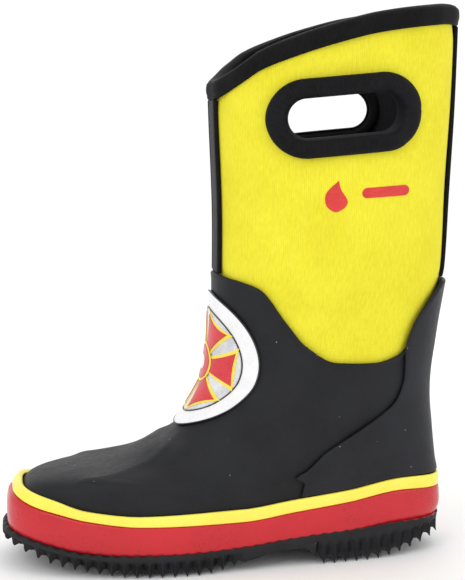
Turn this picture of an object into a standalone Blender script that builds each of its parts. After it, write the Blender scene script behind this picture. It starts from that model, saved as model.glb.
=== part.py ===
"""Left pull-on rain boot for a child, in firefighter colours.

Metres, +Z up. The toe points to -X, the outer side of the foot faces -Y and the
lugs stand on the plane Z = 0. Every piece of the upper is laid on one skin, the
outer face of the neoprene lining, at its own offset from it.
"""

import math

import bmesh
import bpy
import numpy as np
from mathutils import Matrix

# --- driving dimensions -------------------------------------------------------
UPPER_LENGTH = 0.2075       # toe to heel of the skin at the welt
HEEL_X = 0.1000             # back of the skin at the welt
SHIN_X = -0.0090            # front of the skin above the instep
ANKLE_HEIGHT = 0.1170       # where the shaft begins, above the instep
SHAFT_TOP = 0.2725          # highest point of the collar
TOE_HALF_WIDTH = 0.0355      # before the rounding of the tip
BALL_HALF_WIDTH = 0.0402
WAIST_HALF_WIDTH = 0.0315
ARCH_TUCK = 0.0030          # how much narrower the waist is on the inner side
HEEL_HALF_WIDTH = 0.0295
ANKLE_HALF_WIDTH = 0.0330
SHAFT_HALF_WIDTH = 0.0410

FIT_GAP = 0.0003            # between faces that touch on the real boot
LAYER_GAP = 0.0004          # between curved layers laid on each other
COUNTER_GAP = 0.0014        # counter to shell, for the glue line in the hollow of the ankle
TAPE_GAP = 0.0010           # seam tape to panel
FOXING_GAP = 0.0008         # red band and stripe to shell
WELT_GAP = 0.0006           # sole to what stands on it

NEOPRENE = 0.0045
SHELL_WALL = 0.0018
COUNTER_WALL = 0.0013
STRIP_WALL = 0.0014
PUFF_WALL = 0.0006
SOCK_WALL = 0.0028
SOCK_OFFSET = -0.0016       # outer face of the sock, inside the toe puff
FOXING_WALL = 0.0020
STRIPE_WALL = 0.0016
BAND_BEND = 0.7             # share of the band's height above which it leans in with the shell
TAPE_WALL = 0.0008
TAPE_HALF_WIDTH = 0.0060
STRIP_HALF_WIDTH = 0.0112
BACK_STRIP_HALF_WIDTH = 0.0120

PANEL_FOOT = 0.0900         # lower edge of the neoprene panels, hidden by the shell
BINDING_HEIGHT = 0.0093
BINDING_WALL = 0.0018
BINDING_SHOULDER = 0.0011   # outer wall where it folds over the top
BINDING_INNER_SHOULDER = 0.0007
BINDING_INNER_WALL = 0.0011
COUNTER_FOOT = 0.0440       # lowest level row of the counter, above the stripe
COUNTER_TOP = 0.1385        # tip of the counter at the back seam
TOE_PUFF_STATIONS = 6       # steps of the skin that the toe puff covers on each side
PANEL_PRESS = 0.0008        # how far the shell presses into the panels below its top edge
PRESS_FADE = 0.0300         # distance above that edge over which the pressing ends

HOLE_REACH = 0.0570         # hole centre behind the shin
HOLE_DROP = 0.0528          # hole centre below the top of the shaft
HOLE_LENGTH = 0.0610
HOLE_HEIGHT = 0.0240
HOLE_TILT = math.radians(5.0)
RIM_FLANGE = 0.0065
RIM_INNER_FLANGE = 0.0040
RIM_WALL = 0.0022            # through the hole
RIM_LIP_WALL = 0.0020        # where it turns into the hole
RIM_EDGE_WALL = 0.0015       # at the edge of the outer flange
RIM_INNER_WALL = 0.0011

BADGE_RADIUS = 0.0365
BADGE_HEIGHT = 0.0960       # of its centre on the instep
BADGE_WALL = 0.0008
BADGE_GAP = 0.0011

PRINT_WALL = 0.0005
PRINT_GAP = 0.0006
FLAME_SHIFT = (-0.0045, -0.0382)    # from the hole's centre, over X and Z
FLAME_HEIGHT = 0.0150
FLAME_FULLNESS = 0.36       # half-width of the drop, as a share of its height
BAR_SHIFT = (0.0200, -0.0362)
BAR_LENGTH = 0.0240
BAR_HEIGHT = 0.0050

LUG_PITCH = 0.0075
LUG_DEPTH = 0.0026
ARCH_CENTRE = 0.0206        # the lugs end on either side of this, where the tread rises
ARCH_REACH = 0.0515
ARCH_LUG_LIMIT = 0.0035     # rise of the tread line at which they end
ARCH_LUG_FADE = 0.0015
TREAD_TOE_FLARE = 0.0040    # how far the tread stands out past the foxing
TREAD_SIDE_FLARE = 0.0012
FOREFOOT_FILLER = 0.0014
HEEL_FILLER = 0.0040
BOARD_WALL = 0.0012
SOCK_SOLE = 0.0020
FOOTBED_WALL = 0.0032
COVER_WALL = 0.0008
FOOTBED_CLEARANCE = 0.0016  # footbed edge to sock wall
FOOTBED_HEEL_TUCK = 0.0030  # the heel of the footbed is this much narrower again
TUCK_START = -0.0128        # along X, where it begins to narrow
TUCK_REACH = 0.0526
PLATE_CLEARANCE = 0.0008    # filler and board edge inside the sock line

# --- how finely the pieces are cut ---------------------------------------------
HALF_STATIONS = 20          # steps along each side of the boot, front to back
LOOP_SAMPLES = 121
STATION_CROWDING = 0.055    # steps are shorter round the toe and the heel
NORMAL_STEP = 0.012         # share and height over which the skin's slope is taken
NORMAL_RISE = 0.0010
SHELL_ROWS = 6
PANEL_ROWS = 8
COUNTER_ROWS = 5            # of the counter above the foot

LATERAL = -1
MEDIAL = 1
TOE_X = HEEL_X - UPPER_LENGTH
SOLE_LEVEL = 0.0300         # height at which the skin gives the sole outline
SHAFT_LEVEL = 0.1200
COLLAR_LEVEL = SHAFT_TOP - 0.0110
HOLE_CENTRE = (SHIN_X + HOLE_REACH, SHAFT_TOP - HOLE_DROP)
FLAME_PLACE = (HOLE_CENTRE[0] + FLAME_SHIFT[0], HOLE_CENTRE[1] + FLAME_SHIFT[1])
BAR_PLACE = (HOLE_CENTRE[0] + BAR_SHIFT[0], HOLE_CENTRE[1] + BAR_SHIFT[1])
SHAFT_RISE = SHAFT_TOP - ANKLE_HEIGHT
SHELL_FACE = FIT_GAP + SHELL_WALL
STRIP_FACE = FIT_GAP + STRIP_WALL
COUNTER_FACE = SHELL_FACE + COUNTER_GAP + COUNTER_WALL
FOXING_FACE = SHELL_FACE + FOXING_GAP + FOXING_WALL


# --- the skin -------------------------------------------------------------------
def smooth_curve(points):
    """Return a function that runs smoothly through (place, value) pairs without overshoot."""
    places = np.array([point[0] for point in points])
    values = np.array([point[1] for point in points])
    slopes = np.diff(values) / np.diff(places)
    tangents = np.concatenate(([slopes[0]], np.zeros(len(points) - 2), [slopes[-1]]))
    for index in range(1, len(points) - 1):
        before, after = slopes[index - 1], slopes[index]
        if before * after > 0:
            tangents[index] = 2 * before * after / (before + after)

    def value(place):
        place = np.clip(place, places[0], places[-1])
        index = np.clip(np.searchsorted(places, place) - 1, 0, len(places) - 2)
        span = places[index + 1] - places[index]
        t = (place - places[index]) / span
        return (
            (1 + 2 * t) * (1 - t) ** 2 * values[index]
            + t * (1 - t) ** 2 * span * tangents[index]
            + t * t * (3 - 2 * t) * values[index + 1]
            - t * t * (1 - t) * span * tangents[index + 1]
        )

    return value


def vamp_point(height, reach):
    """Point of the front line: reach runs from 0 at the shin to 1 at the toe."""
    return (height, SHIN_X + reach * (TOE_X - SHIN_X))


def shaft_point(share, x):
    """Point of a shaft line: share runs from 0 at the ankle to 1 at the collar."""
    return (ANKLE_HEIGHT + share * SHAFT_RISE, x)


front_line = smooth_curve([
    vamp_point(0.0100, 1.0), vamp_point(0.0320, 1.0), vamp_point(0.0362, 0.970),
    vamp_point(0.0393, 0.944), vamp_point(0.0414, 0.893), vamp_point(0.0434, 0.790),
    vamp_point(0.0451, 0.645), vamp_point(0.0480, 0.487), vamp_point(0.0550, 0.340),
    vamp_point(0.0608, 0.223), vamp_point(0.0664, 0.170), vamp_point(0.0776, 0.090),
    vamp_point(0.0900, 0.030), vamp_point(0.1025, 0.009),
    shaft_point(0.00, SHIN_X), shaft_point(0.31, SHIN_X + 0.0008),
    shaft_point(0.73, SHIN_X - 0.0012), shaft_point(1.00, SHIN_X - 0.0017),
])
back_line = smooth_curve([
    (0.0100, HEEL_X), (0.0380, HEEL_X), (0.0460, HEEL_X - 0.0014), (0.0640, HEEL_X - 0.0034),
    (0.0780, HEEL_X - 0.0045), (0.0920, HEEL_X - 0.0037), (0.1050, HEEL_X - 0.0023),
    shaft_point(0.00, HEEL_X - 0.0010), shaft_point(0.11, HEEL_X + 0.0021),
    shaft_point(0.18, HEEL_X + 0.0042), shaft_point(0.41, HEEL_X + 0.0057),
    shaft_point(0.71, HEEL_X + 0.0078), shaft_point(1.00, HEEL_X + 0.0088),
])
shaft_widening = smooth_curve([
    (0.0750, 0.0), (0.0950, 0.02), shaft_point(0.02, 0.25), shaft_point(0.16, 0.50),
    shaft_point(0.47, 0.80), shaft_point(0.80, 1.00), shaft_point(1.00, 1.10),
])
sole_half_width = {
    LATERAL: smooth_curve([
        (0.00, TOE_HALF_WIDTH), (0.28, BALL_HALF_WIDTH), (0.62, WAIST_HALF_WIDTH),
        (0.85, HEEL_HALF_WIDTH), (1.00, HEEL_HALF_WIDTH),
    ]),
    MEDIAL: smooth_curve([
        (0.00, TOE_HALF_WIDTH), (0.22, BALL_HALF_WIDTH), (0.58, WAIST_HALF_WIDTH - ARCH_TUCK),
        (0.85, HEEL_HALF_WIDTH), (1.00, HEEL_HALF_WIDTH),
    ]),
}
FOOT_LEVEL, LEG_LEVEL = 0.0360, 0.0780      # the section turns from sole to ankle between these
FOOT_SQUARENESS, LEG_SQUARENESS = 0.54, 0.80


def eased(value):
    """Ease a share from 0 to 1."""
    value = min(max(value, 0.0), 1.0)
    return value * value * (3 - 2 * value)


def half_loop(side, height):
    """Dense outline of one side of the skin at a height, with its running length."""
    t = np.linspace(0.0, 1.0, LOOP_SAMPLES)
    turn = math.pi * t * t * (3 - 2 * t)
    front, back = front_line(height), back_line(height)
    x = front + (back - front) * (1 - np.cos(turn)) / 2
    foot = 1 - eased((height - FOOT_LEVEL) / (LEG_LEVEL - FOOT_LEVEL))
    leg_width = ANKLE_HALF_WIDTH + (SHAFT_HALF_WIDTH - ANKLE_HALF_WIDTH) * shaft_widening(height)
    width = foot * sole_half_width[side]((x - TOE_X) / UPPER_LENGTH) + (1 - foot) * leg_width
    power = foot * FOOT_SQUARENESS + (1 - foot) * LEG_SQUARENESS
    y = side * width * np.abs(np.sin(turn)) ** power
    y[0] = y[-1] = 0.0
    steps = np.hypot(np.diff(x), np.diff(y))
    return x, y, np.concatenate(([0.0], np.cumsum(steps)))


def half_length(side, height):
    """Distance round one side of the skin, from the front seam to the back seam."""
    return half_loop(side, height)[2][-1]


def on_skin(side, share, height):
    """Point of the skin: share runs from 0 at the front seam to 1 at the back seam."""
    x, y, run = half_loop(side, height)
    at = share * run[-1]
    return np.array([np.interp(at, run, x), np.interp(at, run, y), height])


def skin(side, share, height, offset):
    """Point that stands off the skin by offset, outwards when it is positive."""
    step, rise = NORMAL_STEP, NORMAL_RISE
    low, high = max(share - step, 0.0), min(share + step, 1.0)
    along = on_skin(side, high, height) - on_skin(side, low, height)
    if share < 1e-6 or share > 1 - 1e-6:
        along = np.array([0.0, side if share < 0.5 else -side, 0.0])
    up = on_skin(side, share, height + rise) - on_skin(side, share, height - rise)
    normal = np.cross(up, along) * side
    return on_skin(side, share, height) + offset * normal / np.linalg.norm(normal)


def share_at(side, x, height):
    """Share of the way from front to back at which the skin passes x."""
    xs, _, run = half_loop(side, height)
    return np.interp(x, xs, run) / run[-1]


def skin_at(side, x, height, offset):
    """Point that stands off the skin where it passes x at a height."""
    return skin(side, share_at(side, x, height), height, offset)


def station_share(step, steps):
    """Share for one step of an even walk, crowded towards both seams."""
    t = step / steps
    return t - STATION_CROWDING * math.sin(2 * math.pi * t)


STATIONS = [station_share(step, HALF_STATIONS) for step in range(HALF_STATIONS + 1)]


# --- lines across the boot ------------------------------------------------------
def along_sole(points):
    """Curve over x whose places are shares of the upper's length from the toe."""
    return smooth_curve([(TOE_X + share * UPPER_LENGTH, value) for share, value in points])


def across_shaft(level, points):
    """Curve over x whose places are shares of the shaft's depth at a level."""
    front, back = front_line(level), back_line(level)
    return smooth_curve([(front + share * (back - front), value) for share, value in points])


welt_line = along_sole([
    (-0.03, 0.0205), (0.06, 0.0148), (0.154, 0.0110), (0.25, 0.0100), (0.37, 0.0100),
    (0.52, 0.0112), (0.66, 0.0140), (0.80, 0.0157), (0.90, 0.0172), (1.03, 0.0172),
])
foxing_top = along_sole([
    (-0.02, 0.0342), (0.08, 0.0305), (0.16, 0.0268), (0.28, 0.0243), (0.51, 0.0240),
    (0.65, 0.0272), (0.77, 0.0300), (0.90, 0.0340), (1.02, 0.0320),
])
stripe_height = along_sole([(0.0, 0.0042), (0.28, 0.0053), (0.51, 0.0064), (1.0, 0.0064)])
tread_line = along_sole([
    (-0.04, 0.0160), (0.00, 0.0125), (0.04, 0.0088), (0.084, 0.0055), (0.18, 0.0020),
    (0.25, 0.0003), (0.29, 0.0), (0.41, 0.0), (0.52, 0.0050), (0.60, 0.0085), (0.66, 0.0088),
    (0.715, 0.0), (0.82, 0.0), (0.88, 0.0016), (0.94, 0.0050), (0.98, 0.0078), (1.03, 0.0100),
])
filler_height = along_sole([(0.40, FOREFOOT_FILLER), (0.70, HEEL_FILLER)])
shell_top = across_shaft(SHAFT_LEVEL, [
    (0.00, 0.1420), (0.15, 0.1370), (0.28, 0.1200), (0.37, 0.1090), (0.52, 0.1005),
    (0.70, 0.0997), (0.81, 0.1025), (0.90, 0.1130), (1.00, 0.1300),
])
collar_line = across_shaft(COLLAR_LEVEL, [
    (0.00, SHAFT_TOP - 0.0365), (0.10, SHAFT_TOP - 0.0273), (0.16, SHAFT_TOP - 0.0222),
    (0.31, SHAFT_TOP - 0.0150), (0.46, SHAFT_TOP - 0.0094), (0.62, SHAFT_TOP - 0.0047),
    (0.83, SHAFT_TOP - 0.0012), (0.95, SHAFT_TOP), (1.00, SHAFT_TOP - 0.0006),
])
counter_edge = smooth_curve([
    (0.0360, 0.0285), (0.0480, 0.0325), (0.0600, 0.0435), (0.0695, 0.0592), (0.0815, 0.0760),
    (0.0937, 0.0794), (0.1036, 0.0794), (0.1160, 0.0824), (0.1280, 0.0900), (0.1390, 0.1000),
])


def sole_x(side, share):
    """Place along X of a station on the sole outline."""
    return on_skin(side, share, SOLE_LEVEL)[0]


def stripe_top(x):
    """Height of the upper edge of the stripe."""
    return foxing_top(x) + stripe_height(x)


def board_floor(x):
    """Height of the insole board's underside."""
    return welt_line(x) + filler_height(x) + FIT_GAP


def sock_floor(x):
    """Height of the sock's underside."""
    return board_floor(x) + BOARD_WALL + FIT_GAP


def footbed_floor(x):
    """Height of the footbed's underside."""
    return sock_floor(x) + SOCK_SOLE + FIT_GAP


# --- bodies -----------------------------------------------------------------------
def ring(height_of, offset):
    """Closed loop of points round the boot; height_of takes a side and a share."""
    outer = [skin(LATERAL, share, height_of(LATERAL, share), offset) for share in STATIONS]
    inner = [skin(MEDIAL, share, height_of(MEDIAL, share), offset) for share in STATIONS[-2:0:-1]]
    return outer + inner


def add_loops(bm, loops):
    """Add loops of points and the faces between each loop and the next."""
    rows = [[bm.verts.new(point) for point in loop] for loop in loops]
    for low, high in zip(rows, rows[1:]):
        bridge(bm, low, high)
    return rows


def bridge(bm, low, high):
    """Add the faces between two closed loops of vertices."""
    for index, corner in enumerate(low):
        following = (index + 1) % len(low)
        bm.faces.new((corner, low[following], high[following], high[index]))


def close_across(bm, loop):
    """Close a loop that mirrors about its first vertex with a ladder of faces."""
    half = len(loop) // 2
    for index in range(half):
        corners = [loop[index], loop[index + 1], loop[-index - 1], loop[-index]]
        unique = list(dict.fromkeys(corners))
        bm.faces.new(unique)


def hollow_body(loops):
    """Body whose loops close on themselves, like a wall that goes all the way round."""
    bm = bmesh.new()
    rows = add_loops(bm, loops)
    bridge(bm, rows[-1], rows[0])
    bmesh.ops.recalc_face_normals(bm, faces=bm.faces)
    return bm


def capped_body(loops):
    """Body whose first and last loops are closed across."""
    bm = bmesh.new()
    rows = add_loops(bm, loops)
    close_across(bm, rows[0])
    close_across(bm, rows[-1])
    bmesh.ops.recalc_face_normals(bm, faces=bm.faces)
    return bm


def disc_body(loops):
    """Body whose first and last loops are small enough to close with one face."""
    bm = bmesh.new()
    rows = add_loops(bm, loops)
    for row in (rows[0], rows[-1]):
        bm.faces.new(row)
    bmesh.ops.recalc_face_normals(bm, faces=bm.faces)
    return bm


def patch_body(rows, place):
    """Body between two faces of an open patch; place takes a row, a column and a face."""
    bm = bmesh.new()
    columns = len(rows[0])
    bmesh.ops.create_grid(bm, x_segments=columns - 1, y_segments=len(rows) - 1, size=1.0)
    bm.verts.ensure_lookup_table()
    near = list(bm.verts)
    raised = bmesh.ops.extrude_face_region(bm, geom=list(bm.faces))
    far = [item for item in raised["geom"] if isinstance(item, bmesh.types.BMVert)]
    partner = {tuple(round(value, 5) for value in vertex.co): vertex for vertex in far}
    pairs = [(vertex, partner[tuple(round(value, 5) for value in vertex.co)]) for vertex in near]
    for index, (inside, outside) in enumerate(pairs):
        row, column = divmod(index, columns)
        inside.co = place(rows[row][column], 0)
        outside.co = place(rows[row][column], 1)
    bmesh.ops.recalc_face_normals(bm, faces=bm.faces)
    if bm.calc_volume(signed=True) < 0:
        bmesh.ops.reverse_faces(bm, faces=bm.faces)
    return bm


def sole_ring(height_over, offset, tuck_over=None):
    """Closed loop of the sole outline; height and tuck are functions of each point's x."""
    loop = []
    for x, y, _ in ring(level_row(SOLE_LEVEL), offset):
        width = abs(y) - (tuck_over(x) if tuck_over else 0.0)
        loop.append((x, math.copysign(max(width, 0.0), y), float(height_over(x))))
    return loop


def plate(bottom_over, top_over, offset, tuck_over=None):
    """Plate that fills the sole outline between two heights over x."""
    return capped_body([
        sole_ring(bottom_over, offset, tuck_over), sole_ring(top_over, offset, tuck_over)])


def sole_row(height_over):
    """Height function of a row that follows a line over x."""
    return lambda side, share: height_over(sole_x(side, share))


# --- sole ------------------------------------------------------------------------
LEVEL_RISE = (0.0, 0.55, 1.0)       # heights of the tread wall's three loops
LEVEL_FLARE = (0.5, 1.0, 0.0)       # and how much of the flare each has


def make_outsole():
    """Rubber sole: lugs all round the edge, a flared wall and a flat top under the welt."""
    steps = int(round(half_length(LATERAL, SOLE_LEVEL) / LUG_PITCH)) * 4
    shares = [step / steps for step in range(steps + 1)]

    def tread(x, step):
        in_arch = abs(x - ARCH_CENTRE) < ARCH_REACH
        arch = eased((tread_line(x) - ARCH_LUG_LIMIT) / ARCH_LUG_FADE) if in_arch else 0.0
        depth = LUG_DEPTH * (1 - arch)
        return tread_line(x) + (depth if step % 4 >= 2 else 0.0)

    def flare(x):
        toe = eased(((TOE_X + HEEL_X) / 2 - x) / (UPPER_LENGTH / 2))
        return TREAD_SIDE_FLARE + (TREAD_TOE_FLARE - TREAD_SIDE_FLARE) * toe

    def loop(level):
        points = []
        order = [(LATERAL, step) for step in range(steps + 1)]
        order += [(MEDIAL, step) for step in range(steps - 1, 0, -1)]
        for side, step in order:
            share = shares[step]
            offset = FOXING_FACE + flare(sole_x(side, share)) * LEVEL_FLARE[level]
            x, y, _ = skin(side, share, SOLE_LEVEL, offset)
            top = float(welt_line(x)) - WELT_GAP
            low = float(tread(x, step))
            points.append((x, y, low + LEVEL_RISE[level] * (top - low)))
        return points

    return capped_body([loop(0), loop(1), loop(2)])


def make_foxing_band():
    """Red band that covers the joint between sole and shell."""
    def top(x):
        return foxing_top(x) - FIT_GAP / 2

    def bend(x):
        return welt_line(x) + BAND_BEND * (top(x) - welt_line(x))

    inner = SHELL_FACE + FOXING_GAP
    rows = [sole_row(bend), sole_row(top)]
    loops = [sole_ring(welt_line, inner), sole_ring(welt_line, FOXING_FACE)]
    loops += [ring(row, FOXING_FACE) for row in rows]
    loops += [ring(row, inner) for row in reversed(rows)]
    return hollow_body(loops)


def make_foxing_stripe():
    """Yellow stripe along the top of the band."""
    def bottom(x):
        return foxing_top(x) + FIT_GAP / 2

    def middle(x):
        return foxing_top(x) + stripe_height(x) / 2

    inner = SHELL_FACE + FOXING_GAP
    outer = inner + STRIPE_WALL
    rows = [sole_row(line) for line in (bottom, middle, stripe_top)]
    loops = [ring(row, outer) for row in rows] + [ring(row, inner) for row in reversed(rows)]
    return hollow_body(loops)


def make_midsole_filler():
    """Foam wedge between outsole and board."""
    return plate(welt_line, lambda x: board_floor(x) - FIT_GAP, SOCK_OFFSET - PLATE_CLEARANCE)


def make_insole_board():
    """Stiff board under the sock."""
    return plate(board_floor, lambda x: board_floor(x) + BOARD_WALL, SOCK_OFFSET - PLATE_CLEARANCE)


FOOTBED_OFFSET = SOCK_OFFSET - SOCK_WALL - FOOTBED_CLEARANCE


def heel_tuck(x):
    """How much narrower the footbed is behind the waist."""
    return FOOTBED_HEEL_TUCK * eased((x - TUCK_START) / TUCK_REACH)


def make_footbed():
    """Loose foam footbed on the sock's floor."""
    return plate(footbed_floor, lambda x: footbed_floor(x) + FOOTBED_WALL, FOOTBED_OFFSET, heel_tuck)


def make_footbed_cover():
    """Textile face of the footbed."""
    def bottom(x):
        return footbed_floor(x) + FOOTBED_WALL + FIT_GAP

    return plate(bottom, lambda x: bottom(x) + COVER_WALL, FOOTBED_OFFSET, heel_tuck)


# --- upper -----------------------------------------------------------------------
TOE_ROWS = (0.0320, 0.0350, 0.0380, 0.0410, 0.0431)
FOOT_ROWS = (*TOE_ROWS, 0.0468, 0.0520, 0.0590, 0.0645, 0.0710, 0.0780, 0.0900)
SOCK_ROWS = (*TOE_ROWS, 0.0468, 0.0590, 0.0710, PANEL_FOOT - FIT_GAP)


def shell_row(step):
    """Height function of one row of the shell above the foot rows."""
    def height(side, share):
        x = on_skin(side, share, SHAFT_LEVEL)[0]
        top = shell_top(x)
        return FOOT_ROWS[-1] + (top - FOOT_ROWS[-1]) * step / SHELL_ROWS

    return height


def level_row(level):
    """Height function of a level row."""
    return lambda side, share: level


def make_vamp_shell():
    """Rubber shell over toe, instep, sides and heel."""
    heights = [level_row(level) for level in (SOLE_LEVEL, *FOOT_ROWS)]
    heights += [shell_row(step) for step in range(1, SHELL_ROWS + 1)]
    loops = [sole_ring(welt_line, SHELL_FACE)]
    loops += [ring(height, SHELL_FACE) for height in heights]
    loops += [ring(height, FIT_GAP) for height in reversed(heights)]
    loops += [sole_ring(welt_line, FIT_GAP)]
    return hollow_body(loops)


def make_inner_sock():
    """Neoprene bootee that lines the shell, closed under the foot."""
    inner = SOCK_OFFSET - SOCK_WALL
    levels = [level_row(level) for level in (SOLE_LEVEL, *SOCK_ROWS)]
    loops = [sole_ring(sock_floor, SOCK_OFFSET)]
    loops += [ring(level, SOCK_OFFSET) for level in levels]
    loops += [ring(level, inner) for level in reversed(levels)]
    loops += [sole_ring(lambda x: sock_floor(x) + SOCK_SOLE, inner)]
    return capped_body(loops)


def make_toe_puff():
    """Stiff toe piece between sock and shell."""
    reach = TOE_PUFF_STATIONS
    rows = []
    for level in (SOLE_LEVEL, *TOE_ROWS):
        row = [(LATERAL, STATIONS[step], level) for step in range(reach, 0, -1)]
        row += [(MEDIAL, STATIONS[step], level) for step in range(reach + 1)]
        rows.append(row)
    outer = -LAYER_GAP
    return patch_body(rows, lambda at, face: skin(*at, outer - PUFF_WALL * (1 - face)))


def make_panel(side):
    """One neoprene half of the shaft, without its handle hole."""
    seam = FIT_GAP / 2
    rows = []
    for step in range(PANEL_ROWS + 1):
        row = []
        for share in STATIONS:
            x = on_skin(side, share, COLLAR_LEVEL)[0]
            top = collar_line(x) - BINDING_WALL - LAYER_GAP
            height = PANEL_FOOT + (top - PANEL_FOOT) * step / PANEL_ROWS
            inset = seam / half_length(side, height)
            row.append((side, min(max(share, inset), 1 - inset), height))
        rows.append(row)

    def place(at, face):
        edge = float(shell_top(on_skin(at[0], at[1], SHAFT_LEVEL)[0]))
        press = PANEL_PRESS * (1 - eased((at[2] - edge) / PRESS_FADE))
        return skin(*at, -press if face else -NEOPRENE)

    return patch_body(rows, place)


def hole_outline(grow):
    """Points of the handle hole's outline over X and Z, moved outwards by grow."""
    radius = HOLE_HEIGHT / 2
    straight = HOLE_LENGTH / 2 - radius
    turns, runs = 8, 5
    flat = []
    for end in (1, -1):
        for step in range(turns + 1):
            angle = math.pi * (step / turns - 0.5)
            flat.append((
                end * (straight + (radius + grow) * math.cos(angle)),
                end * (radius + grow) * math.sin(angle)))
        for step in range(1, runs):
            flat.append((end * straight * (1 - 2 * step / runs), end * (radius + grow)))
    cos, sin = math.cos(HOLE_TILT), math.sin(HOLE_TILT)
    return [
        (HOLE_CENTRE[0] + along * cos - up * sin, HOLE_CENTRE[1] + along * sin + up * cos)
        for along, up in flat]


def make_hole_cutter():
    """Prism that cuts the handle holes through both panels."""
    reach = 2 * SHAFT_HALF_WIDTH
    loops = [[(x, y, z) for x, z in hole_outline(0.0)] for y in (-reach, reach)]
    return disc_body(loops)


def make_handle_rim(side):
    """Moulded rim that clasps the edge of one handle hole, outside and inside."""
    lip = -NEOPRENE - LAYER_GAP
    section = (
        (-RIM_WALL - LAYER_GAP, lip - RIM_INNER_WALL), (RIM_INNER_FLANGE, lip - RIM_INNER_WALL),
        (RIM_INNER_FLANGE, lip), (-LAYER_GAP, lip), (-LAYER_GAP, LAYER_GAP),
        (RIM_FLANGE, LAYER_GAP), (RIM_FLANGE, LAYER_GAP + RIM_EDGE_WALL),
        (-RIM_WALL - LAYER_GAP, LAYER_GAP + RIM_LIP_WALL),
    )
    loops = [
        [skin_at(side, x, z, stand) for x, z in hole_outline(grow)] for grow, stand in section
    ]
    return hollow_body(loops)


def make_collar_binding():
    """Rubber binding folded over the top edge of both panels."""
    inner = -NEOPRENE - LAYER_GAP
    section = (
        (BINDING_HEIGHT, LAYER_GAP), (BINDING_HEIGHT, LAYER_GAP + BINDING_WALL),
        (0.0, LAYER_GAP + BINDING_SHOULDER), (0.0, inner - BINDING_INNER_SHOULDER),
        (BINDING_HEIGHT, inner - BINDING_INNER_WALL), (BINDING_HEIGHT, inner),
        (BINDING_WALL, inner), (BINDING_WALL, LAYER_GAP),
    )

    def below_collar(drop):
        def height(side, share):
            return collar_line(on_skin(side, share, COLLAR_LEVEL)[0]) - drop
        return height

    return hollow_body([ring(below_collar(drop), offset) for drop, offset in section])


def seam_strip(end, half_width, bottom, top, faces):
    """Strip over a seam: end is 0 at the front and 1 at the back; faces are its two offsets."""
    columns, rows = 4, 9
    grid = []
    for step in range(rows + 1):
        row = []
        for column in range(-columns, columns + 1):
            side = MEDIAL if column > 0 else LATERAL
            height = bottom + (top - bottom) * step / rows
            reach = half_width * abs(column) / columns / half_length(side, height)
            row.append((side, reach if end == 0 else 1 - reach, height))
        grid.append(row)
    return patch_body(grid, lambda at, face: skin(*at, faces[face]))


STRIP_FACES = (FIT_GAP, STRIP_FACE)
TAPE_FACES = (-NEOPRENE - TAPE_GAP - TAPE_WALL, -NEOPRENE - TAPE_GAP)


def binding_foot(end):
    """Height just under the binding at a seam: end is 0 at the front and 1 at the back."""
    seam = (front_line, back_line)[end](COLLAR_LEVEL)
    return float(collar_line(seam)) - BINDING_HEIGHT - 2 * FIT_GAP


def make_front_strip():
    """Dark strip over the front seam."""
    bottom = float(shell_top(SHIN_X)) + FIT_GAP
    return seam_strip(0, STRIP_HALF_WIDTH, bottom, binding_foot(0), STRIP_FACES)


def make_back_strip():
    """Dark strip over the back seam, above the counter's tip."""
    return seam_strip(
        1, BACK_STRIP_HALF_WIDTH, COUNTER_TOP + 2 * FIT_GAP, binding_foot(1), STRIP_FACES)


def make_front_seam_tape():
    """Tape over the front seam, inside."""
    bottom = PANEL_FOOT + 4 * FIT_GAP
    return seam_strip(0, TAPE_HALF_WIDTH, bottom, binding_foot(0), TAPE_FACES)


def make_back_seam_tape():
    """Tape over the back seam, inside."""
    bottom = PANEL_FOOT + 4 * FIT_GAP
    return seam_strip(1, TAPE_HALF_WIDTH, bottom, binding_foot(1), TAPE_FACES)


def make_heel_counter():
    """Thick rubber counter round the heel, rising to a tip at the back seam."""
    columns = 10
    above = [level for level in FOOT_ROWS if level > COUNTER_FOOT]
    rest = np.linspace(above[-1], COUNTER_TOP, COUNTER_ROWS + 1)[1:]
    grid = []
    for step, height in enumerate((COUNTER_FOOT, *above, *rest)):
        row = []
        for column in range(-columns, columns + 1):
            side = MEDIAL if column > 0 else LATERAL
            away = abs(column) / columns
            share = 1 - (1 - share_at(side, counter_edge(height), height)) * away
            if step == 0:
                foot = float(stripe_top(on_skin(side, share, SOLE_LEVEL)[0])) + LAYER_GAP
            row.append((side, share, height if step else foot))
        grid.append(row)
    return patch_body(grid, lambda at, face: skin(*at, COUNTER_FACE - COUNTER_WALL * (1 - face)))


# --- trim ------------------------------------------------------------------------
def instep_height(distance):
    """Height on the front line at a distance along it from the badge's centre."""
    heights = np.linspace(0.040, 0.170, 131)
    reach = np.array([front_line(height) for height in heights])
    run = np.concatenate(([0.0], np.cumsum(np.hypot(np.diff(heights), np.diff(reach)))))
    centre = np.interp(BADGE_HEIGHT, heights, run)
    return float(np.interp(centre + distance, run, heights))


def make_badge():
    """Round rubber badge wrapped over the instep."""
    turns = 24
    inner = SHELL_FACE + BADGE_GAP

    def loop(radius, offset):
        points = []
        for step in range(turns):
            angle = 2 * math.pi * step / turns
            across, up = radius * math.sin(angle), radius * math.cos(angle)
            side = MEDIAL if across > 0 else LATERAL
            height = instep_height(up)
            points.append(skin(side, abs(across) / half_length(side, height), height, offset))
        return points

    radii = [BADGE_RADIUS * share for share in (0.08, 0.3, 0.54, 0.77, 1.0)]
    loops = [loop(radius, inner) for radius in radii]
    loops += [loop(radius, inner + BADGE_WALL) for radius in reversed(radii)]
    return disc_body(loops)


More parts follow.
